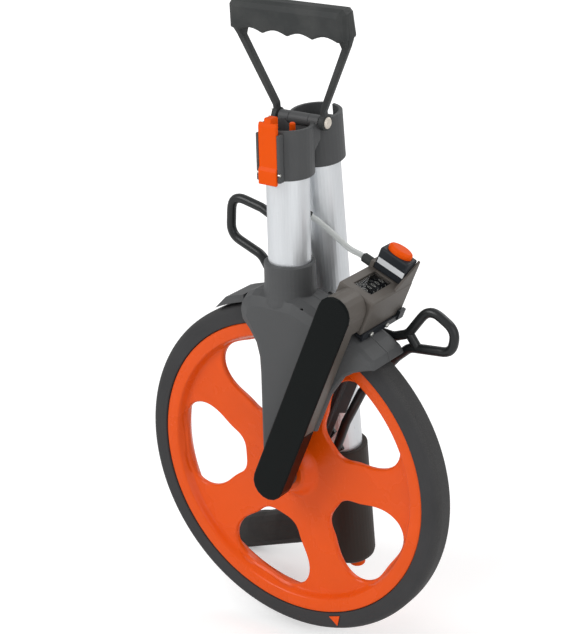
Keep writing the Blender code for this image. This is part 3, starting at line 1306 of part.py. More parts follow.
def make_carry_handle():
    """Bail of one piece: two lugs, spreading legs and a thick grip with finger hollows."""
    outer, inner = carry_outline()
    mirrored = [(-x, z) for x, z in reversed(outer)]
    outline = outer + mirrored + [(-x, z) for x, z in reversed(inner)] + inner
    rounds = [LUG_WIDTH * 0.3] * len(outline)
    bail = pillow(outline, rounds, -LEG_DEPTH / 2, LEG_DEPTH / 2, 2, both=True)
    handle = piece("carry_handle", bail, CARRY, RUBBER)
    width = CARRY_HALF - CARRY_LEG_WIDTH
    low = []
    for step in range(25):
        share = step / 24
        wave = abs(sin(pi * CARRY_WAVES * share))
        low.append((width * (1 - 2 * share), CARRY_GRIP_LOW - CARRY_WAVE * (1 - wave)))
    edge = CARRY_GRIP_ROUND * 0.6
    side_low = CARRY_GRIP_LOW - CARRY_WAVE * 0.4
    end = CARRY_HALF - GAP
    grip = [(-end, side_low), (-end, CARRY_GRIP_TOP - edge), (-CARRY_HALF + edge, CARRY_GRIP_TOP + GAP),
            (CARRY_HALF - edge, CARRY_GRIP_TOP + GAP), (end, CARRY_GRIP_TOP - edge), (end, side_low)]
    outline = grip + low
    half = CARRY_GRIP_DEPTH / 2
    rounds = [CARRY_GRIP_ROUND] * len(grip) + [CARRY_WAVE * 0.8] * len(low)
    rounds[0] = rounds[5] = CARRY_WAVE
    join(handle, pillow(outline, rounds, -half, half, 2, both=True))
    for side in (-1, 1):
        join(handle, carry_taper(side))
        ends = sorted((side * LUG_INNER, side * (LUG_INNER + LUG_WIDTH)))
        join(handle, cylinder(LUG_RADIUS, *ends, "X", steps=24))
    wide = CARRY_HALF * 2
    cut(handle, cylinder(BOLT_RADIUS + GAP, -wide, wide, "X", steps=20))


# Stand

def stand_path(shares):
    points = [(across_share * STAND_REACH, STAND_DEEP, up_share * STAND_REACH)
              for across_share, up_share in shares]
    return bend(points, STAND_BEND, 3)


def stand_leg(name, shares, eye_start):
    """Bent rod from the axle eye round the foot loop and back."""
    path = stand_path(shares)
    leg = piece(name, rod(path, STAND_ROD, 2), GROUND, COATED)
    eye_end = eye_start + STAND_EYE_THICK
    join(leg, cylinder(STAND_EYE, eye_start, eye_end, "Y", steps=32))
    for place in (path[0], path[-1]):
        reach = hypot(place.x, place.z)
        way = Vector((place.x / reach, place.z / reach))
        side = Vector((-way.y, way.x)) * STAND_ROD
        near = way * (BUSH_RADIUS + SINK)
        far = way * (reach + STAND_ROD)
        tab = [near - side, near + side, far + side, far - side]
        join(leg, plate([[tuple(point) for point in tab]], eye_start + GAP / 3, eye_end - GAP / 3))
    cut(leg, cylinder(BUSH_RADIUS + GAP, 0, STAND_DEEP * 2, "Y", steps=24))
    return leg


def make_stand():
    stand_leg("stand_leg_left", LEFT_LEG_SHARES, EYE_FRONT)
    right = stand_leg("stand_leg_right", RIGHT_LEG_SHARES, STAND_DEEP + GAP / 2)
    ends = [(a * STAND_REACH, STAND_DEEP, b * STAND_REACH) for a, b in CROSSBAR_SHARES]
    join(right, rod([Vector(end) for end in ends], STAND_ROD * 0.96, 2))


def set_down():
    """Move the root frame so that the middle of the box's underside is at the origin."""
    bpy.context.view_layer.update()
    graph = bpy.context.evaluated_depsgraph_get()
    corners = []
    for part in PARTS.objects:
        if part.type == "MESH":
            shown = part.evaluated_get(graph)
            corners += [shown.matrix_world @ vertex.co for vertex in shown.data.vertices]
    lows = [min(corner[axis] for corner in corners) for axis in range(3)]
    highs = [max(corner[axis] for corner in corners) for axis in range(3)]
    GROUND.location = (-(lows[0] + highs[0]) / 2, -(lows[1] + highs[1]) / 2, -lows[2])
    bpy.context.view_layer.update()


make_wheel()
make_axle()
make_fork()
make_counter()
make_cable()
make_lower_tube()
make_lower_socket()
make_hinge()
make_latch()
make_peg()
make_upper_pole()
make_carry_handle()
make_stand()
set_down()
print("wheel centre", tuple(round(value, 5) for value in GROUND.location))
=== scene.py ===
"""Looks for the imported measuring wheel: finishes, fine wheel and tyre, digits, fasteners and studio.

Every length is in metres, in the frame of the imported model. Texture sizes are lengths on the surface.
"""
from math import cos, hypot, pi, radians, sin

import bmesh
import bpy
from mathutils import Matrix, Vector


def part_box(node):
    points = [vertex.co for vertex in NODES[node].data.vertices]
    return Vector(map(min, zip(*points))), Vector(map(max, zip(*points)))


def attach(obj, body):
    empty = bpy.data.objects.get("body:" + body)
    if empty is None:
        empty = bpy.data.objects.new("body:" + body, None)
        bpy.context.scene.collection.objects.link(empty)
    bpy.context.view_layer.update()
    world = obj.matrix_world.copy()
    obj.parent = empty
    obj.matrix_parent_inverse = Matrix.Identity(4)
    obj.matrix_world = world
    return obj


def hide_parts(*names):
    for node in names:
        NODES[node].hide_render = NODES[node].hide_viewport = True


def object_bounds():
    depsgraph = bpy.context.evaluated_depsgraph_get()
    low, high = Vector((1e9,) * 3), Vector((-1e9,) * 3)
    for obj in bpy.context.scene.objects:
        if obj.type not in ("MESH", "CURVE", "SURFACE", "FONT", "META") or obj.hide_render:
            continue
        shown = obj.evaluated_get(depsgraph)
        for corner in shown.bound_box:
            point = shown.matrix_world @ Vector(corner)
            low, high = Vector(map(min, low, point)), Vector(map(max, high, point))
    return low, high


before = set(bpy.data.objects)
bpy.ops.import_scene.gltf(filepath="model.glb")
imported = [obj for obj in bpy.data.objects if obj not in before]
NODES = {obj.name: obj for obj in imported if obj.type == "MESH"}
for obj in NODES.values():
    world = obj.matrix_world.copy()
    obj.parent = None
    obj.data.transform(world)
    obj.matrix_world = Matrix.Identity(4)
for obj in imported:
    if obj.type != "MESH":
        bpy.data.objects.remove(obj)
CAD_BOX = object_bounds()

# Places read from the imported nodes
TYRE_LOW, TYRE_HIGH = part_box("tyre")
WHEEL = (TYRE_LOW + TYRE_HIGH) / 2
COUNTER_TILT = radians(22.3)
ACROSS = Vector((cos(COUNTER_TILT), 0, -sin(COUNTER_TILT)))
OUTWARD = Vector((sin(COUNTER_TILT), 0, cos(COUNTER_TILT)))

# Colours of the finishes, as they look in daylight, from 0 to 255
ORANGE = (224, 80, 6)
GREY = (76, 77, 78)
WARM_GREY = (90, 85, 80)
BROWN_GREY = (52, 46, 42)
TYRE_GREY = (58, 58, 59)
COVER_BLACK = (10, 14, 14)
BLOCK_BLACK = (38, 41, 45)
STAND_BLACK = (28, 30, 31)
RUBBER_BLACK = (52, 54, 54)
GRIP_BLACK = (42, 40, 39)
BELT_BLACK = (38, 38, 38)
DRUM_BLACK = (22, 22, 24)
DIGIT_WHITE = (196, 196, 190)
LABEL_WHITE = (205, 207, 209)
ALUMINIUM = (226, 229, 232)
ZINC = (205, 205, 200)
BLACK_STEEL = (84, 85, 86)
CREAM_STEEL = (216, 208, 196)
HOSE_TINT = (226, 230, 228)
# Dark colour of the counter window: painted shade over the inside of the counter
LENS_PAINTED_SHADE = (26, 28, 30)
DUST_GREY = (150, 146, 140)
TREAD_DUST = (92, 90, 87)
FLOOR_WHITE = (238, 238, 238)


def linear(colour, lift=1.0):
    """Scene colour of a seen one, made lighter or darker by a factor."""
    values = []
    for part in colour:
        share = part / 255
        value = share / 12.92 if share <= 0.04045 else ((share + 0.055) / 1.055) ** 2.4
        values.append(min(1.0, value * lift))
    return (*values, 1.0)


# Node materials

NOISE_LOW = 0.3
NOISE_HIGH = 0.7
BEVEL_SAMPLES = 6
FLAT_DOT = 0.995
EDGE_DOT = 0.85
COAT_ROUGH = 0.15
PLASTIC_DRIFT = 0.04
GRAIN_SHARE = 0.10
GRAIN_SHADE = 0.75
WEAR_LEAST = 0.3
RUBBED_LIFT = 1.7
SCUFF_STRETCH = (1.0, 0.35, 0.2)
SCUFF_SHARE = 0.16
SCUFF_LIFT = 1.9
SCUFF_DULL = 0.12
RUBBER_MOTTLE = 0.12
RUBBER_DRIFT = 0.06
RUBBER_EDGE_SHARE = 0.18
RUBBER_EDGE_LIFT = 1.6
METAL_EDGE = 0.0003
METAL_DRIFT = 0.05
LINE_SHADE = 0.90
LINE_LIFT = 1.04
LINE_DULL = 0.06
NICK_STRETCH = (1.0, 1.0, 0.3)
NICK_SHARE = 0.35
NICK_SHADE = 0.62
DRAWN_UPRIGHT = (1.0, 1.0, 0.03)
DRAWN_ACROSS = (1.0, 0.4, 1.0)
DRAWN_SIDEWAYS = (0.4, 1.0, 1.0)
WIPE_STRETCH = (1.0, 0.2, 1.0)
WIPE_DULL = 0.12
WIPE_DEPTH = 0.00001
HAZE_SHADE = 0.94
HAZE_LIFT = 1.02
MOULD_RING_PITCH = 0.0031
MOULD_RING_DEPTH = 0.00003
TREAD_INNER = 0.1545
TREAD_OUTER = 0.1585
TYRE_MOTTLE = 0.10
TYRE_GRAIN = 0.00006
TYRE_EDGE = 0.0008


def add(tree, kind, inputs=(), **settings):
    """Node with its settings; each input is a socket to link or a value to set."""
    made = tree.nodes.new(kind)
    for key, value in settings.items():
        setattr(made, key, value)
    for key, value in dict(inputs).items():
        socket = made.inputs[key]
        if isinstance(value, bpy.types.NodeSocket):
            tree.links.new(value, socket)
        else:
            socket.default_value = value
    return made


def calc(tree, operation, first, second=0.0):
    """Sum, product or the like of two sockets or values."""
    made = add(tree, "ShaderNodeMath", {0: first, 1: second}, operation=operation)
    return made.outputs[0]


def noise(tree, place, size, detail=3.0, roughness=0.5, warp=0.0):
    """Noise whose features have about the given size."""
    made = add(tree, "ShaderNodeTexNoise", {"Vector": place, "Scale": 1 / size, "Detail": detail,
                                            "Roughness": roughness, "Distortion": warp})
    return made.outputs["Fac"]


def remap(tree, value, low, high, out_low=0.0, out_high=1.0):
    """Value carried from one range to another, and held at its ends."""
    made = add(tree, "ShaderNodeMapRange", {"Value": value, "From Min": low, "From Max": high,
                                            "To Min": out_low, "To Max": out_high})
    return made.outputs["Result"]


def spread(tree, value, out_low=0.0, out_high=1.0):
    """Range that most of a noise lies in, carried to another."""
    return remap(tree, value, NOISE_LOW, NOISE_HIGH, out_low, out_high)


def blend(tree, share, first, second):
    """Colour between two others by a share."""
    made = add(tree, "ShaderNodeMix", data_type="RGBA")
    for socket, value in ((made.inputs[0], share), (made.inputs[6], first), (made.inputs[7], second)):
        if isinstance(value, bpy.types.NodeSocket):
            tree.links.new(value, socket)
        else:
            socket.default_value = value
    return made.outputs[2]


def stretched(tree, place, scales):
    """Coordinates scaled by axis; a small scale draws a noise out along its axis."""
    made = add(tree, "ShaderNodeMapping", {"Vector": place, "Scale": scales})
    return made.outputs["Vector"]


def new_look(name, **values):
    """Material with its tree, shader and object coordinates; values go to the shader's own sockets."""
    made = bpy.data.materials.new(name)
    made.use_nodes = True
    tree = made.node_tree
    shader = tree.nodes["Principled BSDF"]
    for key, value in values.items():
        shader.inputs[key.replace("_", " ")].default_value = value
    place = add(tree, "ShaderNodeTexCoord").outputs["Object"]
    return made, tree, shader, place


def soft_edge(tree, radius):
    """Shading normal rounded at edges, and a mask that is 1 on the edges."""
    rounded = add(tree, "ShaderNodeBevel", {"Radius": radius}, samples=BEVEL_SAMPLES).outputs["Normal"]
    true = add(tree, "ShaderNodeNewGeometry").outputs["Normal"]
    dot = add(tree, "ShaderNodeVectorMath", {0: rounded, 1: true}, operation="DOT_PRODUCT")
    mask = remap(tree, dot.outputs["Value"], low=FLAT_DOT, high=EDGE_DOT)
    return rounded, mask


def relief(tree, height, depth, normal=None, strength=1.0):
    """Shading normal with a height's bumps on it."""
    inputs = {"Height": height, "Distance": depth, "Strength": strength}
    if normal is not None:
        inputs["Normal"] = normal
    return add(tree, "ShaderNodeBump", inputs).outputs["Normal"]


def moulded(name, colour, rough, grain=0.00003, grain_size=0.0005, mottle=0.05, edge=0.0006,
            wear=0.25, level=0.5, coat=0.0):
    """Moulded plastic: slow colour drift, spark eroded grain, rubbed edges and faint scuffs."""
    made, tree, shader, place = new_look(name, Specular_IOR_Level=level, Coat_Weight=coat,
                                         Coat_Roughness=COAT_ROUGH)
    cloud = noise(tree, place, size=0.045, detail=4.0)
    grains = noise(tree, place, size=grain_size, detail=2.0)
    scuffs = noise(tree, stretched(tree, place, SCUFF_STRETCH), size=0.0016, detail=3.0, roughness=0.7,
                   warp=0.6)
    patch = noise(tree, place, size=0.028, detail=2.0)
    scuffed = calc(tree, "MULTIPLY", remap(tree, scuffs, low=0.60, high=0.72),
                   remap(tree, patch, low=0.50, high=0.68))
    rounded, mask = soft_edge(tree, edge)
    base = blend(tree, spread(tree, cloud), linear(colour, 1 - mottle), linear(colour, 1 + mottle))
    base = blend(tree, calc(tree, "MULTIPLY", grains, GRAIN_SHARE), base, linear(colour, GRAIN_SHADE))
    rubbed = calc(tree, "MULTIPLY", mask, remap(tree, patch, low=0.35, high=0.65,
                                                out_low=wear * WEAR_LEAST, out_high=wear))
    base = blend(tree, rubbed, base, linear(colour, RUBBED_LIFT))
    base = blend(tree, calc(tree, "MULTIPLY", scuffed, SCUFF_SHARE), base, linear(colour, SCUFF_LIFT))
    tree.links.new(base, shader.inputs["Base Color"])
    gloss = calc(tree, "ADD", spread(tree, cloud, rough - PLASTIC_DRIFT, rough + PLASTIC_DRIFT),
                 calc(tree, "MULTIPLY", scuffed, SCUFF_DULL))
    tree.links.new(gloss, shader.inputs["Roughness"])
    tree.links.new(relief(tree, grains, grain, rounded), shader.inputs["Normal"])
    return made


def rubber(name, colour, rough, grain=0.00006, grain_size=0.0007, dust=0.10, edge=0.0008):
    """Rubber: matt, finely pitted, with pale dust in broad patches."""
    made, tree, shader, place = new_look(name, Specular_IOR_Level=0.22)
    cloud = noise(tree, place, size=0.035, detail=4.0, roughness=0.6)
    grains = noise(tree, place, size=grain_size, detail=3.0)
    rounded, mask = soft_edge(tree, edge)
    base = blend(tree, spread(tree, cloud), linear(colour, 1 - RUBBER_MOTTLE),
                 linear(colour, 1 + RUBBER_MOTTLE))
    dusty = calc(tree, "MULTIPLY", remap(tree, cloud, low=0.45, high=0.75), grains)
    base = blend(tree, calc(tree, "MULTIPLY", dusty, dust), base, linear(DUST_GREY))
    base = blend(tree, calc(tree, "MULTIPLY", mask, RUBBER_EDGE_SHARE), base,
                 linear(colour, RUBBER_EDGE_LIFT))
    tree.links.new(base, shader.inputs["Base Color"])
    tree.links.new(spread(tree, cloud, rough - RUBBER_DRIFT, rough + RUBBER_DRIFT),
                   shader.inputs["Roughness"])
    tree.links.new(relief(tree, grains, grain, rounded), shader.inputs["Normal"])
    return made


def metal(name, colour, rough, scales=(1.0, 1.0, 1.0), depth=0.000008, metallic=1.0):
    """Metal with fine brushing or drawing lines, long along the axis with the smallest scale."""
    made, tree, shader, place = new_look(name, Metallic=metallic, Specular_IOR_Level=0.5)
    lines = noise(tree, stretched(tree, place, scales), size=0.0006, detail=3.0, roughness=0.6)
    cloud = noise(tree, place, size=0.03, detail=3.0)
    marks = noise(tree, stretched(tree, place, NICK_STRETCH), size=0.0024, detail=2.0, roughness=0.7,
                  warp=0.8)
    nick = remap(tree, marks, low=0.70, high=0.78, out_high=NICK_SHARE)
    base = blend(tree, lines, linear(colour, LINE_SHADE), linear(colour, LINE_LIFT))
    base = blend(tree, nick, base, linear(colour, NICK_SHADE))
    tree.links.new(base, shader.inputs["Base Color"])
    gloss = calc(tree, "ADD", spread(tree, cloud, rough - METAL_DRIFT, rough + METAL_DRIFT),
                 calc(tree, "MULTIPLY", lines, LINE_DULL))
    tree.links.new(gloss, shader.inputs["Roughness"])
    rounded = soft_edge(tree, METAL_EDGE)[0]
    tree.links.new(relief(tree, lines, depth, rounded), shader.inputs["Normal"])
    return made


def clear(name, tint_and_shade, rough, transmission, alpha):
    """Clear plastic with fine wipe marks and a little haze, coloured by a tint that on the counter window is
    painted shade.
    """
    made, tree, shader, place = new_look(name, Transmission_Weight=transmission, IOR=1.45, Alpha=alpha)
    wipes = noise(tree, stretched(tree, place, WIPE_STRETCH), size=0.0012, detail=3.0, roughness=0.7,
                  warp=0.5)
    haze = noise(tree, place, size=0.006, detail=3.0)
    base = blend(tree, haze, linear(tint_and_shade, HAZE_SHADE), linear(tint_and_shade, HAZE_LIFT))
    tree.links.new(base, shader.inputs["Base Color"])
    gloss = remap(tree, wipes, low=0.5, high=0.8, out_low=rough, out_high=rough + WIPE_DULL)
    tree.links.new(gloss, shader.inputs["Roughness"])
    tree.links.new(relief(tree, wipes, WIPE_DEPTH), shader.inputs["Normal"])
    return made


def tyre_look():
    """Grey solid rubber with faint mould rings and trodden dust on the tread."""
    made, tree, shader, place = new_look("tyre_rubber", Specular_IOR_Level=0.15)
    split = add(tree, "ShaderNodeSeparateXYZ", {0: place})
    x = calc(tree, "SUBTRACT", split.outputs[0], WHEEL.x)
    z = calc(tree, "SUBTRACT", split.outputs[2], WHEEL.z)
    square = calc(tree, "ADD", calc(tree, "MULTIPLY", x, x), calc(tree, "MULTIPLY", z, z))
    radius = calc(tree, "SQRT", square)
    cloud = noise(tree, place, size=0.04, detail=4.0, roughness=0.6)
    grains = noise(tree, place, size=0.0008, detail=3.0)
    rings = calc(tree, "SINE", calc(tree, "MULTIPLY", radius, 2 * pi / MOULD_RING_PITCH))
    tread = remap(tree, radius, low=TREAD_INNER, high=TREAD_OUTER)
    base = blend(tree, spread(tree, cloud), linear(TYRE_GREY, 1 - TYRE_MOTTLE),
                 linear(TYRE_GREY, 1 + TYRE_MOTTLE))
    dusty = calc(tree, "MULTIPLY", tread, remap(tree, grains, low=0.4, high=0.7, out_low=0.05,
                                                out_high=0.35))
    base = blend(tree, dusty, base, linear(TREAD_DUST))
    tree.links.new(base, shader.inputs["Base Color"])
    tree.links.new(spread(tree, cloud, out_low=0.55, out_high=0.70), shader.inputs["Roughness"])
    rounded = soft_edge(tree, TYRE_EDGE)[0]
    ringed = relief(tree, rings, MOULD_RING_DEPTH, rounded, strength=0.6)
    tree.links.new(relief(tree, grains, TYRE_GRAIN, ringed), shader.inputs["Normal"])
    return made


LOOKS = {
    "orange": moulded("wheel_orange", ORANGE, rough=0.27, grain=0.00002, grain_size=0.0009, mottle=0.035,
                      edge=0.0012, wear=0.06, level=0.20, coat=0.10),
    "orange_small": moulded("small_orange", ORANGE, rough=0.36, grain=0.00001, grain_size=0.0006,
                            mottle=0.03, edge=0.0007, wear=0.05, level=0.08, coat=0.02),
    "tyre": tyre_look(),
    "grey": moulded("fork_grey", GREY, rough=0.48, grain=0.00004, grain_size=0.0006, edge=0.0010,
                    wear=0.22, level=0.25),
    "warm_grey": moulded("case_grey", WARM_GREY, rough=0.46, grain=0.00004, grain_size=0.0006,
                         edge=0.0008, level=0.25),
    "brown_grey": moulded("handle_grey", BROWN_GREY, rough=0.50, grain=0.00004, grain_size=0.0006,
                          edge=0.0008, level=0.20),
    "cover": moulded("cover_black", COVER_BLACK, rough=0.30, grain=0.00001, edge=0.0009, wear=0.30,
                     level=0.08, coat=0.05),
    "block": moulded("block_black", BLOCK_BLACK, rough=0.38, grain=0.00002, edge=0.0007, wear=0.30,
                     level=0.20),
    "inner_black": moulded("inner_black", DRUM_BLACK, rough=0.45, grain=0.00002, edge=0.0004, wear=0.20,
                           level=0.15),
    "digit": moulded("digit_white", DIGIT_WHITE, rough=0.50, grain=0.00001, grain_size=0.0004,
                     mottle=0.03, edge=0.0001, wear=0.0, level=0.20),
    "bail": rubber("bail_rubber", RUBBER_BLACK, rough=0.55, grain=0.00007, grain_size=0.0008, dust=0.12,
                   edge=0.0012),
    "grip": rubber("grip_rubber", GRIP_BLACK, rough=0.60, grain=0.00010, grain_size=0.0011, edge=0.0010),
    "belt": rubber("belt_rubber", BELT_BLACK, rough=0.70),
    "boot": rubber("boot_rubber", RUBBER_BLACK, rough=0.60),
    "tube": metal("tube_aluminium", ALUMINIUM, rough=0.40, scales=DRAWN_UPRIGHT, depth=0.000004,
                  metallic=0.85),
    "zinc": metal("zinc_steel", ZINC, rough=0.30, scales=DRAWN_ACROSS),
    "black_steel": metal("black_steel", BLACK_STEEL, rough=0.48, scales=DRAWN_ACROSS, depth=0.000006,
                         metallic=0.2),
    "cream": metal("bolt_steel", CREAM_STEEL, rough=0.38, scales=DRAWN_SIDEWAYS, depth=0.000006,
                   metallic=0.35),
    "stand": moulded("stand_black", STAND_BLACK, rough=0.34, grain_size=0.0016, edge=0.0005, wear=0.30,
                     level=0.35, coat=0.08),
    "label": moulded("label_white", LABEL_WHITE, rough=0.35, grain=0.00001, grain_size=0.0004,
                     mottle=0.02, edge=0.0002, wear=0.0, level=0.2),
    # The window's dark colour is painted shade for the shade inside the counter
    "lens": clear("window_clear", LENS_PAINTED_SHADE, rough=0.05, transmission=0.0, alpha=0.20),
    "hose": clear("hose_clear", HOSE_TINT, rough=0.30, transmission=0.30, alpha=0.90),
}
DRESS = {
    "orange": ("wheel_disc", "zero_mark"),
    "orange_small": ("reset_button", "latch", "coupling_peg", "thumb_button"),
    "tyre": ("tyre",),
    "grey": ("fork_front_shell", "fork_rear_shell", "lower_socket", "upper_socket"),
    "brown_grey": ("handle_body",),
    "warm_grey": ("belt_case", "counter_housing"),
    "cover": ("belt_cover",),
    "block": ("reset_block", "counter_bracket"),
    "inner_black": ("drive_pulley", "counter_pulley", "reset_cable_core", "peg_guide", "rod_guide",
                    "number_drum_1", "number_drum_2", "number_drum_3", "number_drum_4", "number_drum_5"),
    "bail": ("carry_handle",),
    "grip": ("grip_sleeve",),
    "belt": ("drive_belt",),
    "boot": ("cable_boot", "cable_grommet"),
    "tube": ("lower_tube", "upper_tube"),
    "zinc": ("axle", "axle_nut", "axle_washer", "stand_bush", "bearing_front", "bearing_rear",
             "counter_shaft", "hinge_nut", "latch_pin", "latch_spring", "push_rod",
             "bracket_screw_front", "bracket_screw_rear", "handle_screw_1", "handle_screw_2"),
    "black_steel": ("fork_screw_left", "fork_screw_right"),
    "cream": ("hinge_bolt",),
    "stand": ("stand_leg_left", "stand_leg_right"),
    "label": ("label_plate",),
    "lens": ("counter_window",),
    "hose": ("reset_cable_hose",),
}
for look, names in DRESS.items():
    for name in names:
        for held in NODES[name].material_slots:
            held.material = LOOKS[look]


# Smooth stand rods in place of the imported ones, in metres from the wheel centre

STAND_DEEP = 0.0294
STAND_ROD = 0.0043
STAND_REACH = 0.2300
STAND_BEND = 0.0150
EYE_RADIUS = 0.0110
EYE_BORE = 0.0063
EYE_THICK = 0.0037
EYE_GAP = 0.00015
EYE_EDGE = 0.0006
EYE_STEPS = 64
BEND_STEPS = 8
ROD_SIDES = 6
CROSSBAR_SLIM_SHARE = 0.96
LONGEST_CUT_SHARE = 0.45
LEAST_SLOPE = 0.01
ROD_SHARP = radians(35)
LEFT_LEG_SHARES = (
    (-0.078, 0.109), (-0.087, 0.400), (-0.130, 0.652), (-0.228, 0.803), (-0.378, 0.862),
    (-0.366, 1.030), (-0.222, 0.998), (-0.095, 0.940), (0.000, 0.783), (0.020, 0.435), (0.004, 0.122),
)
RIGHT_LEG_SHARES = (
    (0.116, 0.061), (0.160, 0.183), (0.237, 0.335), (0.395, 0.519), (0.452, 0.570),
    (0.632, 0.589), (0.646, 0.680), (0.535, 0.748), (0.443, 0.622), (0.378, 0.598),
    (0.270, 0.609), (0.174, 0.435), (0.087, 0.217), (0.080, 0.117),
)
CROSSBAR_SHARES = ((0.446, 0.628), (0.486, 0.573))


def new_piece(name, bm, look, body, smooth=True):
    """Object from a bmesh, with its look, riding on a body."""
    mesh = bpy.data.meshes.new(name)
    bm.to_mesh(mesh)
    bm.free()
    mesh.materials.append(LOOKS[look])
    for face in mesh.polygons:
        face.use_smooth = smooth
    made = bpy.data.objects.new(name, mesh)
    bpy.context.scene.collection.objects.link(made)
    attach(made, body)
    return made


def rounded_path(points, radius):
    """Path through points with each inner corner replaced by an arc."""
    path = [points[0]]
    for before, here, after in zip(points, points[1:], points[2:]):
        first = (before - here).normalized()
        second = (after - here).normalized()
        half = first.angle(second) / 2
        cut = min(radius / max(LEAST_SLOPE, sin(half) / cos(half)),
                  LONGEST_CUT_SHARE * (before - here).length, LONGEST_CUT_SHARE * (after - here).length)
        start = here + first * cut
        end = here + second * cut
        for step in range(BEND_STEPS + 1):
            share = step / BEND_STEPS
            path.append(start.lerp(here, share).lerp(here.lerp(end, share), share))
    return path + [points[-1]]


def add_rod(bm, path, radius):
    """Round bar along a path, added to a bmesh."""
    curve = bpy.data.curves.new("rod", "CURVE")
    curve.dimensions = "3D"
    curve.bevel_depth = radius
    curve.bevel_resolution = ROD_SIDES
    curve.use_fill_caps = True
    line = curve.splines.new("POLY")
    line.points.add(len(path) - 1)
    for point, place in zip(line.points, path):
        point.co = (*place, 1.0)
    holder = bpy.data.objects.new("rod", curve)
    mesh = bpy.data.meshes.new_from_object(holder)
    bm.from_mesh(mesh)
    bpy.data.objects.remove(holder)
    bpy.data.curves.remove(curve)
    bpy.data.meshes.remove(mesh)


def add_turned(bm, profile, steps):
    """Ring about the axle line from (radius, depth) points, added to a bmesh."""
    rings = []
    for step in range(steps):
        turn = 2 * pi * step / steps
        outward = Vector((cos(turn), 0, sin(turn)))
        rings.append([bm.verts.new(WHEEL + outward * radius + Vector((0, depth, 0)))
                      for radius, depth in profile])
    for i, here in enumerate(rings):
        there = rings[(i + 1) % steps]
        for j in range(len(profile)):
            k = (j + 1) % len(profile)
            bm.faces.new((here[j], here[k], there[k], there[j]))


def stand_point(shares):
    """Place in the stand's plane from its shares of the reach."""
    return WHEEL + Vector((shares[0] * STAND_REACH, STAND_DEEP, shares[1] * STAND_REACH))


def make_leg(name, node, body, shares, eye_start, crossbar=()):
    """Bent rod with its axle eye and flat tabs."""
    bm = bmesh.new()
    path = rounded_path([stand_point(pair) for pair in shares], STAND_BEND)
    add_rod(bm, path, STAND_ROD)
    if crossbar:
        add_rod(bm, [stand_point(pair) for pair in crossbar], STAND_ROD * CROSSBAR_SLIM_SHARE)
    low = eye_start
    high = eye_start + EYE_THICK
    eye = ((EYE_BORE, low), (EYE_RADIUS - EYE_EDGE, low), (EYE_RADIUS, low + EYE_EDGE),
           (EYE_RADIUS, high - EYE_EDGE), (EYE_RADIUS - EYE_EDGE, high), (EYE_BORE, high))
    add_turned(bm, eye, EYE_STEPS)
    for end in (path[0], path[-1]):
        reach = hypot(end.x - WHEEL.x, end.z - WHEEL.z)
        way = Vector(((end.x - WHEEL.x) / reach, 0, (end.z - WHEEL.z) / reach))
        side = Vector((-way.z, 0, way.x)) * STAND_ROD
        near = WHEEL + way * (EYE_BORE + EYE_EDGE)
        far = WHEEL + way * (reach + STAND_ROD)
        depths = (Vector((0, low + EYE_GAP, 0)), Vector((0, high - EYE_GAP, 0)))
        tab = (near - side, near + side, far + side, far - side)
        corners = [[bm.verts.new(place + depth) for place in tab] for depth in depths]
        bm.faces.new(corners[0])
        bm.faces.new(reversed(corners[1]))
        for i in range(4):
            bm.faces.new((corners[0][i], corners[1][i], corners[1][i - 3], corners[0][i - 3]))
    bmesh.ops.recalc_face_normals(bm, faces=bm.faces)
    leg = new_piece(name, bm, "stand", body)
    leg.data.set_sharp_from_angle(angle=ROD_SHARP)
    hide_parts(node)


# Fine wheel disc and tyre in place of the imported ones, in metres from the wheel centre

TURN_STEPS = 180
TYRE_RADIUS = 0.15915
TYRE_WIDTH = 0.0244
TYRE_SHOULDER = 0.007
SHOULDER_STEPS = 8
RIM_RADIUS = 0.1414
RIM_WIDTH = 0.0216
RIM_RING = 0.0112
RIM_FILLET = 0.0058
SEAT_GAP = 0.0003
WEB = 0.0062
HUB_RADIUS = 0.0175
HUB_FILLET = 0.0125
HUB_LENGTH = 0.0276
NOSE_RADIUS = 0.0096
NOSE_END = 0.0365
BEARING_SEAT = 0.0083
HOLE_COUNT = 5
HOLE_STEPS = 96
HOLE_RING = 0.0771
HOLE_SIZE = 0.0366
HOLE_FIRST = radians(182.6)
HOLE_EDGE = 0.0014
HOLE_LIFT = 0.0006
HOLE_WAVE_SHARES = (0.4290, 0.0322, -0.1082, -0.0825)
EDGE_TURNS = 4
HUB_STEPS = 12
RIM_STEPS = 10
EDGE_ROUND = 0.0006
SHARP = radians(38)


def soft_step(start, end, steps):
    """Points of a smooth step from one (radius, depth) to another."""
    shares = [step / steps for step in range(steps + 1)]
    return [(start[0] + (end[0] - start[0]) * share,
             start[1] + (end[1] - start[1]) * share * share * (3 - 2 * share)) for share in shares]


def make_fine_tyre():
    """Tyre with round shoulders on a flat tread."""
    half = TYRE_WIDTH / 2
    shoulder = TYRE_RADIUS - TYRE_SHOULDER
    turns = [pi / 2 * step / SHOULDER_STEPS for step in range(SHOULDER_STEPS + 1)]
    rear = [(shoulder + TYRE_SHOULDER * sin(turn), half - TYRE_SHOULDER * (1 - cos(turn))) for turn in turns]
    seat = RIM_RADIUS + SEAT_GAP
    rear = [(seat, half - EDGE_ROUND), (seat + EDGE_ROUND, half)] + rear
    profile = rear + [(radius, -depth) for radius, depth in reversed(rear)]
    bm = bmesh.new()
    add_turned(bm, profile, TURN_STEPS)
    bmesh.ops.recalc_face_normals(bm, faces=bm.faces)
    tyre = new_piece("tyre_ring", bm, "tyre", "wheel")
    tyre.data.set_sharp_from_angle(angle=SHARP)
    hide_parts("tyre")


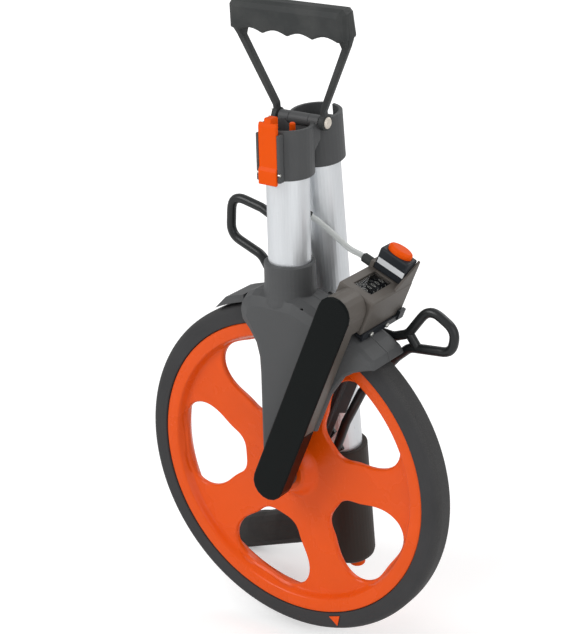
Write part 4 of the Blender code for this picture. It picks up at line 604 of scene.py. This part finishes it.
def hole_ring(index, grow, depth):
    """Outline of one wheel hole, a rounded triangle from a few cosine waves."""
    way = HOLE_FIRST + 2 * pi * index / HOLE_COUNT
    points = []
    for step in range(HOLE_STEPS):
        turn = 2 * pi * step / HOLE_STEPS
        wave = 1 + sum(share * cos((order + 1) * turn) for order, share in enumerate(HOLE_WAVE_SHARES))
        a = HOLE_RING + (HOLE_SIZE * wave + grow) * cos(turn)
        b = (HOLE_SIZE * wave + grow) * sin(turn)
        points.append(WHEEL + Vector((a * cos(way) - b * sin(way), depth, a * sin(way) + b * cos(way))))
    return points


def hole_cutter(index):
    """Closed loft through the web whose mouths flare in a quarter round."""
    half = WEB / 2
    wide = HOLE_EDGE + HOLE_LIFT
    quarter = [pi / 2 * step / EDGE_TURNS for step in range(EDGE_TURNS + 1)]
    front = [(-RIM_WIDTH, wide), (-half - HOLE_LIFT, wide)]
    front += [(-half + HOLE_EDGE * sin(turn), HOLE_EDGE * (1 - sin(turn))) for turn in quarter]
    levels = front + [(-depth, grow) for depth, grow in reversed(front)]
    bm = bmesh.new()
    rings = [[bm.verts.new(point) for point in hole_ring(index, grow, depth)] for depth, grow in levels]
    for here, there in zip(rings, rings[1:]):
        for i in range(HOLE_STEPS):
            bm.faces.new((here[i - 1], here[i], there[i], there[i - 1]))
    bm.faces.new(rings[0])
    bm.faces.new(reversed(rings[-1]))
    bmesh.ops.recalc_face_normals(bm, faces=bm.faces)
    mesh = bpy.data.meshes.new("cutter")
    bm.to_mesh(mesh)
    bm.free()
    cutter = bpy.data.objects.new("cutter", mesh)
    bpy.context.scene.collection.objects.link(cutter)
    return cutter


def make_fine_wheel():
    """Disc with soft steps to the rim and hub and five rounded holes."""
    half = WEB / 2
    face = HUB_LENGTH / 2
    rim_half = RIM_WIDTH / 2
    inner = RIM_RADIUS - RIM_RING
    hub = soft_step((HUB_RADIUS, face - EDGE_ROUND), (HUB_RADIUS + HUB_FILLET, half), HUB_STEPS)
    rim = soft_step((inner - RIM_FILLET, half), (inner, rim_half), RIM_STEPS)
    rear = [(BEARING_SEAT, face), (HUB_RADIUS - EDGE_ROUND, face)] + hub + rim
    rear += [(RIM_RADIUS - EDGE_ROUND, rim_half), (RIM_RADIUS, rim_half - EDGE_ROUND)]
    front = [(radius, -depth) for radius, depth in reversed(rear[1:])]
    nose = [(NOSE_RADIUS, -face), (NOSE_RADIUS, -NOSE_END + EDGE_ROUND),
            (NOSE_RADIUS - EDGE_ROUND, -NOSE_END), (BEARING_SEAT, -NOSE_END)]
    bm = bmesh.new()
    add_turned(bm, rear + front + nose, TURN_STEPS)
    bmesh.ops.recalc_face_normals(bm, faces=bm.faces)
    disc = new_piece("wheel_body", bm, "orange", "wheel")
    cutters = [hole_cutter(index) for index in range(HOLE_COUNT)]
    for cutter in cutters:
        cut = disc.modifiers.new("hole", "BOOLEAN")
        cut.operation = "DIFFERENCE"
        cut.solver = "EXACT"
        cut.object = cutter
    bpy.context.view_layer.update()
    graph = bpy.context.evaluated_depsgraph_get()
    shaped = bpy.data.meshes.new_from_object(disc.evaluated_get(graph))
    disc.modifiers.clear()
    disc.data = shaped
    shaped.set_sharp_from_angle(angle=SHARP)
    for cutter in cutters:
        bpy.data.objects.remove(cutter)
    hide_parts("wheel_disc")


# Smooth clear hose with its core, from the grommet into the boot, in metres from the wheel centre

HOSE_RADIUS = 0.0026
CORE_RADIUS = 0.0009
HOUSING_LEFT = 0.0180
BOOT_LENGTH = 0.0102
BOOT_REACH = 0.2065
BOOT_DEEP = 0.0360
BOOT_GAP = 0.0003
BOOT_OUT_SHARE = 0.35
BOOT_IN_SHARE = 0.40
HOSE_STEPS = 12
HOSE_ROUTE = (
    (0.0072, 0.0186, 0.2362),
    (0.0120, 0.0222, 0.2325),
    (0.0205, 0.0266, 0.2245),
    (0.0300, 0.0305, 0.2155),
    (0.0395, 0.0338, 0.2072),
    (0.0480, 0.0358, 0.2015),
)


def smooth_line(points):
    """Catmull-Rom curve through points."""
    padded = [points[0] * 2 - points[1]] + points + [points[-1] * 2 - points[-2]]
    line = []
    for a, b, c, d in zip(padded, padded[1:], padded[2:], padded[3:]):
        for step in range(HOSE_STEPS):
            t = step / HOSE_STEPS
            line.append((b * 2 + (c - a) * t + (a * 2 - b * 5 + c * 4 - d) * t * t
                         + (b * 3 - a - c * 3 + d) * t * t * t) / 2)
    return line + [points[-1]]


def make_hose():
    """Clear hose and its core along one line."""
    mouth = -HOUSING_LEFT - BOOT_GAP - BOOT_LENGTH
    ends = [mouth - BOOT_LENGTH * BOOT_OUT_SHARE, mouth + BOOT_LENGTH * BOOT_IN_SHARE]
    route = [WHEEL + Vector(place) for place in HOSE_ROUTE[:-1]]
    route += [WHEEL + ACROSS * v + OUTWARD * BOOT_REACH + Vector((0, BOOT_DEEP, 0)) for v in ends]
    line = smooth_line(route)
    for name, node, radius, look in (("clear_hose", "reset_cable_hose", HOSE_RADIUS, "hose"),
                                     ("hose_core", "reset_cable_core", CORE_RADIUS, "inner_black")):
        bm = bmesh.new()
        add_rod(bm, line, radius)
        made = new_piece(name, bm, look, "frame")
        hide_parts(node)


# Digits on the counter drums

SHAFT_REACH = 0.1915
DRUM_RADIUS = 0.0118
DRUM_PITCH = 0.0060
DRUM_FIRST = 0.0020
DIGIT_HEIGHT = 0.0052
DIGIT_WIDE_SHARE = 0.80
DIGIT_RELIEF = 0.0001
DIGIT_BANDS = 6
DIGIT_CURVE_STEPS = 3
DIGIT_STEP = radians(36)
DRUM_BODIES = ("counter_drive", "drum_2", "drum_3", "drum_4", "drum_5")


def digit_mesh(figure):
    """Flat figure of unit height, centred, cut in bands so that it can bend."""
    text = bpy.data.curves.new("figure", "FONT")
    text.body = str(figure)
    text.resolution_u = DIGIT_CURVE_STEPS
    holder = bpy.data.objects.new("figure", text)
    mesh = bpy.data.meshes.new_from_object(holder)
    bm = bmesh.new()
    bm.from_mesh(mesh)
    bpy.data.objects.remove(holder)
    bpy.data.curves.remove(text)
    bpy.data.meshes.remove(mesh)
    lows = [min(vert.co[axis] for vert in bm.verts) for axis in range(2)]
    highs = [max(vert.co[axis] for vert in bm.verts) for axis in range(2)]
    tall = highs[1] - lows[1]
    for vert in bm.verts:
        vert.co.x = (vert.co.x - (lows[0] + highs[0]) / 2) / tall
        vert.co.y = (vert.co.y - (lows[1] + highs[1]) / 2) / tall
    for band in range(1, DIGIT_BANDS):
        height = band / DIGIT_BANDS - 0.5
        bmesh.ops.bisect_plane(bm, geom=bm.verts[:] + bm.edges[:] + bm.faces[:],
                               plane_co=(0, height, 0), plane_no=(0, 1, 0))
    return bm


def make_digits():
    """Ring of ten white figures round each drum."""
    figures = [digit_mesh(figure) for figure in range(10)]
    for index, body in enumerate(DRUM_BODIES):
        depth = -DRUM_FIRST + (index + 0.5) * DRUM_PITCH
        centre = WHEEL + Vector((0, depth, 0)) + OUTWARD * SHAFT_REACH
        bm = bmesh.new()
        for figure, source in enumerate(figures):
            made = {}
            for vert in source.verts:
                turn = vert.co.y * DIGIT_HEIGHT / DRUM_RADIUS - DIGIT_STEP * figure
                out = (OUTWARD * cos(turn) + ACROSS * sin(turn)) * (DRUM_RADIUS + DIGIT_RELIEF)
                side = Vector((0, -vert.co.x * DIGIT_HEIGHT * DIGIT_WIDE_SHARE, 0))
                made[vert] = bm.verts.new(centre + out + side)
            for face in source.faces:
                bm.faces.new([made[vert] for vert in face.verts])
        new_piece("drum_%d_figures" % (index + 1), bm, "digit", body)
    for source in figures:
        source.free()


make_leg("left_stand_rod", "stand_leg_left", "left_stand", LEFT_LEG_SHARES,
         STAND_DEEP - EYE_GAP - EYE_THICK)
make_leg("right_stand_rod", "stand_leg_right", "right_stand", RIGHT_LEG_SHARES,
         STAND_DEEP + EYE_GAP, CROSSBAR_SHARES)
make_fine_tyre()
make_fine_wheel()
make_hose()
make_digits()


# Floor, light and camera

FLOOR_HALF = 9.0
FLOOR_GLOW = 0.30
FAR_GLOW = 0.60
FADE_START = 0.5
FADE_END = 2.6
FLOOR_DROP = 0.0005
FLOOR_DRIFT = 0.02


def make_floor():
    """Pale floor that takes the shadow and fades to white away from the object."""
    bm = bmesh.new()
    bmesh.ops.create_grid(bm, x_segments=2, y_segments=2, size=FLOOR_HALF)
    mesh = bpy.data.meshes.new("floor")
    bm.to_mesh(mesh)
    bm.free()
    floor = bpy.data.objects.new("floor", mesh)
    bpy.context.scene.collection.objects.link(floor)
    floor.location.z = CAD_BOX[0].z - FLOOR_DROP
    made, tree, shader, place = new_look("studio_floor", Roughness=0.85, Specular_IOR_Level=0.1)
    drift = noise(tree, place, size=0.6, detail=2.0)
    tone = blend(tree, drift, linear(FLOOR_WHITE, 1 - FLOOR_DRIFT), linear(FLOOR_WHITE, 1 + FLOOR_DRIFT))
    tree.links.new(tone, shader.inputs["Base Color"])
    path = add(tree, "ShaderNodeLightPath")
    seen = calc(tree, "MAXIMUM", path.outputs["Is Camera Ray"], path.outputs["Is Transmission Ray"])
    reach = add(tree, "ShaderNodeVectorMath", {0: place}, operation="LENGTH").outputs["Value"]
    lift = remap(tree, reach, FADE_START, FADE_END, FLOOR_GLOW, FAR_GLOW)
    glow = add(tree, "ShaderNodeEmission", {"Strength": calc(tree, "MULTIPLY", seen, lift)})
    total = add(tree, "ShaderNodeAddShader", {0: shader.outputs[0], 1: glow.outputs[0]})
    tree.links.new(total.outputs[0], tree.nodes["Material Output"].inputs["Surface"])
    mesh.materials.append(made)


AMBIENT = 0.62


def make_world():
    """Even white light, brighter where the camera or clear plastic looks at it."""
    world = bpy.data.worlds.new("studio")
    bpy.context.scene.world = world
    world.use_nodes = True
    tree = world.node_tree
    back = tree.nodes["Background"]
    back.inputs["Color"].default_value = (1.0, 1.0, 1.0, 1.0)
    path = add(tree, "ShaderNodeLightPath")
    seen = calc(tree, "MAXIMUM", path.outputs["Is Camera Ray"], path.outputs["Is Transmission Ray"])
    tree.links.new(remap(tree, seen, 0.0, 1.0, AMBIENT, 1.0), back.inputs["Strength"])


# Each lamp has its place, its side and its power in watts
LAMPS = {
    "key": ((-1.1, -1.9, 1.9), 1.4, 33.0),
    "fill": ((1.9, -0.9, 1.0), 1.6, 11.0),
    "back": ((0.3, 1.8, 1.9), 1.3, 12.0),
    "rim": ((0.9, 0.9, 1.7), 0.5, 2.2),
}
AIM = Vector((0.0, 0.0, 0.30))


def make_lamps():
    """Soft square lamps aimed at the middle of the object."""
    for name, (place, size, power) in LAMPS.items():
        data = bpy.data.lights.new(name, "AREA")
        data.shape = "SQUARE"
        data.size = size
        data.energy = power
        lamp = bpy.data.objects.new(name, data)
        bpy.context.scene.collection.objects.link(lamp)
        lamp.location = place
        lamp.rotation_euler = (AIM - lamp.location).to_track_quat("-Z", "Y").to_euler()


CAMERA_FROM_WHEEL = Vector((0.768025, -1.041698, 0.678081))
CAMERA_RIGHT = Vector((0.80989, 0.58614, -0.02269))
CAMERA_UP = Vector((-0.20587, 0.32026, 0.92469))
CAMERA_BACK = Vector((0.54927, -0.74423, 0.38004))
LENS = 90.85
SENSOR = 36.0


def make_camera():
    """Camera at the photograph's angle, placed from the wheel's centre."""
    data = bpy.data.cameras.new("camera")
    data.lens = LENS
    data.sensor_width = SENSOR
    data.sensor_fit = "AUTO"
    camera = bpy.data.objects.new("camera", data)
    bpy.context.scene.collection.objects.link(camera)
    turn = Matrix((CAMERA_RIGHT, CAMERA_UP, CAMERA_BACK)).transposed().to_4x4()
    camera.matrix_world = Matrix.Translation(WHEEL + CAMERA_FROM_WHEEL) @ turn
    bpy.context.scene.camera = camera


make_floor()
make_world()
make_lamps()
make_camera()
bpy.context.scene.view_settings.view_transform = "Standard"
